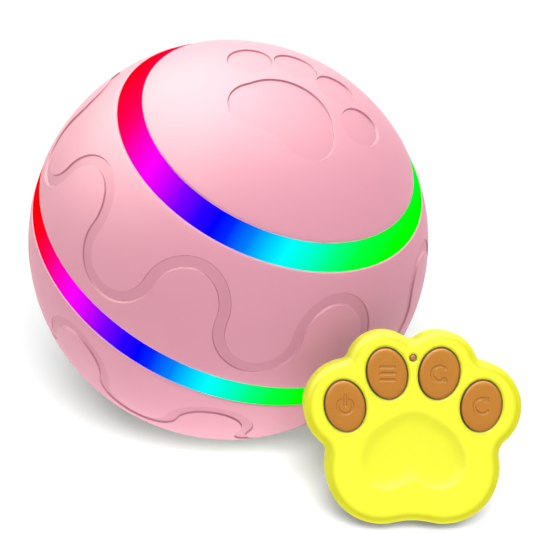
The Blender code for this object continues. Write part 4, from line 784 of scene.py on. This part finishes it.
def addTopCase():
    bm = caseShell(remote["seam"], remote["ceiling"], remote["shoulder"], remote["face"])
    wells = [(place, keys["halfWidth"] + remote["keyWell"], keys["halfLength"] + remote["keyWell"],
              way * keys["turn"]) for _, place, way, _ in keys["places"]]
    lampWell = lamp["radius"] + remote["keyWell"]
    outlines = [ovalOutline(*well, remote["wellSteps"]) for well in wells]
    outlines.append(ovalOutline(lamp["place"], lampWell, lampWell, 0, lamp["wellSteps"]))
    inside = insideOutlines(outlines)

    def onFace(point):
        return point.z > remote["face"] - remote["dishEdge"]

    refine(bm, insideDish, dish["ease"], remote["longestEdge"], remote["dishEdge"], onFace)
    refine(bm, inside, remote["lip"] * 2, remote["longestEdge"], remote["wellEdge"], onFace)
    for vert in bm.verts:
        if onFace(vert.co):
            outside = -inside(vert.co)
            share = min(max(1 - outside / remote["lip"], 0.0), 1.0)
            vert.co.z -= dish["depth"] * dishShare(vert.co) + remote["lipDrop"] * share * share
    low, high = remote["ceiling"] - remote["cutSpare"], remote["face"] + remote["cutSpare"]
    cutters = [ovalPrism(lamp["place"], lampWell, lampWell, lamp["wellTurn"], low, high)]
    cutters += [ovalPrism(*well, low, high) for well in wells]
    cut = cutAway(bm, cutters)
    paintEdges(cut, inside)
    piece = addPiece("paw_top_case", cut, remoteFrame, finishes["yellow"], "remote", "remote_top_case")
    piece.visible_diffuse = False     # no yellow cast on the ball
    print("top case done")


addTopCase()


backCase = {
    "doorPlace": (0.0, -0.0030),
    "doorWell": 0.0107,
    "screws": ((0.0101016, -0.0107934), (-0.0101016, -0.0107934)),
    "screwWell": 0.0016,
    "screwWellDepth": 0.0011,
    "screwHole": 0.0010,
}


def addBackCase():
    bm = caseShell(-remote["seam"], remote["floor"], remote["backEdge"], -remote["face"])
    low, high = -remote["face"] - remote["cutSpare"], remote["floor"] + remote["cutSpare"]
    cutters = [ovalPrism(backCase["doorPlace"], backCase["doorWell"], backCase["doorWell"], 0, low, high)]
    for place in backCase["screws"]:
        cutters.append(ovalPrism(place, backCase["screwWell"], backCase["screwWell"], 0, low,
                                 backCase["screwWellDepth"] - remote["face"]))
        cutters.append(ovalPrism(place, backCase["screwHole"], backCase["screwHole"], 0, low, high))
    cut = cutAway(bm, cutters)
    paintEdges(cut)
    piece = addPiece("paw_back_case", cut, remoteFrame, finishes["yellow"], "remote", "remote_bottom_case")
    piece.visible_diffuse = False
    print("back case done")


addBackCase()


door = {
    "radius": 0.0104,
    "base": -0.0050,
    "top": -0.0039,
    "edge": 0.00025,
    "groove": ((0.0084, 0.0), (0.0082, 0.0002), (0.0078, 0.0002), (0.0076, 0.0)),    # out, depth
    "slot": (0.0100, 0.0016, 0.0006),  # length, width, depth
    "segments": 96,
}


def addDoor():
    profile = [(0, door["top"]), (door["radius"], door["top"])]
    profile += easedCorner(door["radius"], door["base"], door["edge"], 1)
    profile += [(out, door["base"] + deep) for out, deep in door["groove"]] + [(0, door["base"])]
    bm = spunProfile(profile, door["segments"], False)
    length, width, depth = door["slot"]
    slot = ovalPrism((0, 0), length / 2, width / 2, 0, door["base"] - remote["cutSpare"],
                     door["base"] + depth)
    bm = cutAway(bm, [slot])
    bmesh.ops.translate(bm, vec=(*backCase["doorPlace"], 0), verts=bm.verts)
    addPiece("round_battery_door", bm, remoteFrame, finishes["yellow"], "door", "battery_door")
    print("battery door done")


addDoor()


icons = {
    "stroke": 0.00048,
    "depth": 0.00012,
    "wall": 0.00017,
    "ring": 0.00130,                  # radius; the shares are of this
    "powerTurns": (125, 415),         # degrees
    "stemShares": (0.1, 1.45),
    "barShare": 0.9,
    "barHeightShares": (-0.85, 0.0, 0.85),
    "arrowTurns": (42, 318),
    "barb": 0.00048,
    "barbWays": ((0.1, 1), (-1, 0.2)),
    # painted shade on the walls of the signs' strokes
    "tone": 0.6,
    "longestEdge": 0.0004,
    "finestEdge": 0.00006,
}


def strokePoints(start, end, steps=60):
    first, second = Vector(start), Vector(end)
    return [first.lerp(second, i / steps) for i in range(steps + 1)]


def ringPoints(start, end, steps=200):
    reach = icons["ring"]
    turns = [math.radians(start + (end - start) * i / steps) for i in range(steps + 1)]
    return [Vector((reach * math.cos(turn), reach * math.sin(turn))) for turn in turns]


def iconPoints(name):
    # plain signs: a power sign, three bars and two turning arrows
    reach = icons["ring"]
    if name == "power_key":
        low, high = icons["stemShares"]
        return ringPoints(*icons["powerTurns"]) + strokePoints((0, low * reach), (0, high * reach))
    if name == "mode_key":
        bars = []
        half = icons["barShare"] * reach
        for height in icons["barHeightShares"]:
            bars += strokePoints((-half, height * reach), (half, height * reach))
        return bars
    way = -1 if name == "turn_left_key" else 1
    turn = math.radians(icons["arrowTurns"][0])
    tip = Vector((reach * math.cos(turn), way * reach * math.sin(turn)))
    points = ringPoints(*icons["arrowTurns"])
    for across, along in icons["barbWays"]:
        points += strokePoints(tip, tip + Vector((across, way * along)).normalized() * icons["barb"])
    return points


def addKey(name, place, way, body):
    halfWidth, halfLength = keys["halfWidth"], keys["halfLength"]
    crown = remote["face"] + keys["crown"]
    lipInset, lipDepth = keys["lip"]
    side = [(keys["baseInset"], keys["base"]), (0, keys["base"]), (0, remote["face"] - lipDepth),
            (lipInset, remote["face"])] + [(inset, crown - below) for inset, below in keys["rounding"]]
    loops = []
    for inset, height in side:
        outline = ovalOutline((0, 0), halfWidth - inset, halfLength - inset, way * keys["turn"],
                              keys["sideSteps"])
        loops.append([(point.x, point.y, height) for point, _ in outline])
    edge = loops[-1]
    for i in range(1, keys["ringCount"]):
        share = 1 - i / keys["ringCount"]
        loops.append([(x * share, y * share, z) for x, y, z in edge])
    bm = stackedLoops(loops)
    tree = treeOf([(point.x, point.y, 0) for point in iconPoints(name)])

    def insideIcon(point):
        return icons["stroke"] / 2 - tree.find((point.x, point.y, 0))[2]

    def onTop(point):
        return point.z > crown - hair

    refine(bm, insideIcon, icons["wall"], icons["longestEdge"], icons["finestEdge"], onTop)
    # painted shade in the signs' strokes, and on the key's side below the rim
    paint = bm.verts.layers.float.new("paintedShade")
    for vert in bm.verts:
        if onTop(vert.co):
            share = easedStep(insideIcon(vert.co), icons["wall"])
            vert.co.z -= icons["depth"] * share
            vert[paint] = icons["tone"] * wallShade(share)
        else:
            vert[paint] = min(max((crown - keys["rimDepth"] - vert.co.z) / keys["rimFade"], 0.0), 1.0)
    bmesh.ops.translate(bm, vec=(*place, 0), verts=bm.verts)
    addPiece("signed_" + name, bm, remoteFrame, finishes["brown"], body, name)


for keyName, keyPlace, keyWay, keyBody in keys["places"]:
    addKey(keyName, keyPlace, keyWay, keyBody)
print("keys done")


def addLamp():
    reach, face, dome = lamp["radius"], remote["face"], lamp["dome"]
    profile = [(0, lamp["base"]), (reach, lamp["base"]), (reach, face - dome)]
    for degrees in lamp["domeTurns"]:
        turn = math.radians(degrees)
        profile.append((reach * math.cos(turn), face - dome + dome * math.sin(turn)))
    bm = spunProfile(profile + [(0, face)], lamp["segments"], False)
    bmesh.ops.translate(bm, vec=(*lamp["place"], 0), verts=bm.verts)
    addPiece("round_indicator_lamp", bm, remoteFrame, finishes["lens"], "remote", "indicator_lamp")


addLamp()
print("remote done")


screws = {
    "headHeight": 0.0008,
    "headEdge": 0.00022,
    "crossShare": 0.62,               # how far the cross reaches, of the head's radius
    "crossWidth": 0.00042,
    "crossDepth": 0.0004,
    "crossTurn": math.radians(18),
    "segments": 40,
    "core": {"places": ((-0.0081045, 0.0200595), (-0.0081045, -0.0200595), (0.0211620, 0.0044981)),
             "shank": 0.0009, "head": 0.0018, "tip": 0.0059043, "seat": 0.0153043},
    "remote": {"places": backCase["screws"],
               "shank": 0.0007, "head": 0.0013, "tip": 0.0029, "seat": -0.0042},
}


def addScrew(name, place, sizes, whole, body):
    # pan head with a cross recess, above the shank or below it as the seat is above or below the tip
    way = 1 if sizes["seat"] > sizes["tip"] else -1
    top = sizes["seat"] + way * screws["headHeight"]
    profile = [(0, sizes["tip"]), (sizes["shank"], sizes["tip"]), (sizes["shank"], sizes["seat"]),
               (sizes["head"], sizes["seat"])]
    profile += easedCorner(sizes["head"], top, screws["headEdge"], -way) + [(0, top)]
    bm = spunProfile(profile, screws["segments"], False)
    bars = []
    for turn in (screws["crossTurn"], screws["crossTurn"] + math.pi / 2):
        bar = bmesh.new()
        bmesh.ops.create_cube(bar, size=1)
        bmesh.ops.scale(bar, vec=(2 * sizes["head"] * screws["crossShare"], screws["crossWidth"],
                                  2 * screws["crossDepth"]), verts=bar.verts)
        bmesh.ops.rotate(bar, cent=(0, 0, 0), matrix=Matrix.Rotation(turn, 3, "Z"), verts=bar.verts)
        bmesh.ops.translate(bar, vec=(0, 0, top), verts=bar.verts)
        bars.append(bar)
    bm = cutAway(bm, bars)
    paint = bm.verts.layers.float.new("paintedShade")
    for vert in bm.verts:
        if abs(abs(top - vert.co.z) - screws["crossDepth"]) < hair:
            vert[paint] = 1.0         # the floor of the cross is painted dark, as shade
    bmesh.ops.translate(bm, vec=(*place, 0), verts=bm.verts)
    addPiece("crosshead_" + name, bm, whole, finishes["steel"], body, name)


for whole, body in ((ballFrame, "core"), (remoteFrame, "remote")):
    for i, place in enumerate(screws[body]["places"]):
        addScrew(f"{body}_screw_{i + 1}", place, screws[body], whole, body)
print("screws done")


# floor, lights and camera

studio = {
    "floorSize": 6.0,
    "floorColour": (0.90, 0.90, 0.90, 1.0),
    "floorLift": 0.07,                # added for the camera, so that the floor reads as white
    "skyStrength": 0.08,
    "highlightTint": (1.0, 1.0, 0.82),
    "suns": (                         # from where, strength, softness, casts a shadow, highlight only
        ((0.0, 0.0, 1.0), 2.08, 60, False, False),
        ((0.0, -0.84, 0.5), 0.6, 60, False, False),
        ((-0.8, -0.55, 0.0), 0.6, 60, False, False),
        ((0.72, -0.68, -0.15), 0.48, 60, False, False),
        ((0.4, -0.08, 0.91), 0.86, 38, True, False),
        ((0.1, -0.5, -0.86), 1.6, 90, False, False),
        ((0.2, 0.35, 0.91), 4.2, 80, False, True),
        ((-0.5, 0.1, 0.86), 9.6, 82, False, True),
    ),
    "floorSun": ((0.04, -0.78, 0.62), 4.0, 24),   # lights the floor alone, and lays the shadows on it
    "floorFill": ((0.0, 0.0, 1.0), 0.65, 60),     # keeps those shadows light
}


def addFloor():
    bm = bmesh.new()
    bmesh.ops.create_grid(bm, x_segments=1, y_segments=1, size=studio["floorSize"])
    mesh = bpy.data.meshes.new("studio_floor")
    bm.to_mesh(mesh)
    bm.free()
    finish = bpy.data.materials.new("paleFloor")
    finish.use_nodes = True
    nodes, links = finish.node_tree.nodes, finish.node_tree.links
    surface = nodes["Principled BSDF"]
    surface.inputs["Base Color"].default_value = studio["floorColour"]
    surface.inputs["Roughness"].default_value = 1.0
    surface.inputs["Specular IOR Level"].default_value = 0.0
    path = nodes.new("ShaderNodeLightPath")
    lift = nodes.new("ShaderNodeMath")
    lift.operation = "MULTIPLY"
    lift.inputs[1].default_value = studio["floorLift"]
    links.new(path.outputs["Is Camera Ray"], lift.inputs[0])
    surface.inputs["Emission Color"].default_value = (1.0, 1.0, 1.0, 1.0)
    links.new(lift.outputs["Value"], surface.inputs["Emission Strength"])
    mesh.materials.append(finish)
    floor = bpy.data.objects.new("studio_floor", mesh)
    bpy.context.scene.collection.objects.link(floor)


def addSky():
    # plain white for the camera, in gloss and through glass, and a faint glow for everything else
    world = bpy.data.worlds.new("studioSky")
    bpy.context.scene.world = world
    world.use_nodes = True
    nodes, links = world.node_tree.nodes, world.node_tree.links
    soft = nodes["Background"]
    soft.inputs["Color"].default_value = (1.0, 1.0, 1.0, 1.0)
    soft.inputs["Strength"].default_value = studio["skyStrength"]
    white = nodes.new("ShaderNodeBackground")
    white.inputs["Color"].default_value = (1.0, 1.0, 1.0, 1.0)
    white.inputs["Strength"].default_value = 1.0
    path = nodes.new("ShaderNodeLightPath")
    seen = path.outputs["Is Camera Ray"]
    for ray in ("Is Glossy Ray", "Is Transmission Ray"):
        either = nodes.new("ShaderNodeMath")
        either.operation = "MAXIMUM"
        links.new(seen, either.inputs[0])
        links.new(path.outputs[ray], either.inputs[1])
        seen = either.outputs["Value"]
    mix = nodes.new("ShaderNodeMixShader")
    links.new(seen, mix.inputs["Fac"])
    links.new(soft.outputs["Background"], mix.inputs[1])
    links.new(white.outputs["Background"], mix.inputs[2])
    links.new(mix.outputs["Shader"], nodes["World Output"].inputs["Surface"])


def addSun(name, source, strength, softness, receivers):
    data = bpy.data.lights.new(name, "SUN")
    data.energy = strength
    data.angle = math.radians(softness)
    sun = bpy.data.objects.new(name, data)
    sun.rotation_euler = Vector(source).to_track_quat("Z", "Y").to_euler()
    sun.light_linking.receiver_collection = receivers
    bpy.context.scene.collection.objects.link(sun)
    return sun


def addSuns():
    # the floor has its own sun; the strong highlights stay off bare metal, which would mirror them
    floor = bpy.data.collections.new("floorAlone")
    pieces = bpy.data.collections.new("allPieces")
    glossy = bpy.data.collections.new("notMetal")
    metals = (finishes["steel"], finishes["brass"])
    for thing in bpy.data.objects:
        if thing.name == "studio_floor":
            floor.objects.link(thing)
        elif thing.type == "MESH" and thing.material_slots:
            pieces.objects.link(thing)
            if thing.material_slots[0].material not in metals:
                glossy.objects.link(thing)
    addSun("floorSun", *studio["floorSun"], floor)
    addSun("floorFill", *studio["floorFill"], floor).data.use_shadow = False
    for i, (source, strength, softness, casts, highlightOnly) in enumerate(studio["suns"]):
        sun = addSun(f"softSun{i}", source, strength, softness, glossy if highlightOnly else pieces)
        sun.data.use_shadow = casts
        if highlightOnly:
            sun.data.color = studio["highlightTint"]
            sun.visible_diffuse = False


view = {
    "lens": 100.34,
    "sensor": 36,
    "place": (0.00738, -0.27965, 0.12442),
    "pitch": math.radians(72),
    "near": 0.01,
    "far": 50,
}


def addCamera():
    data = bpy.data.cameras.new("productCamera")
    data.lens = view["lens"]
    data.sensor_width = view["sensor"]
    data.clip_start = view["near"]
    data.clip_end = view["far"]
    camera = bpy.data.objects.new("productCamera", data)
    camera.location = view["place"]
    camera.rotation_euler = (view["pitch"], 0, 0)
    bpy.context.scene.collection.objects.link(camera)
    bpy.context.scene.camera = camera


addFloor()
addSky()
addSuns()
addCamera()
bpy.context.scene.view_settings.view_transform = "Standard"
print("studio ready")
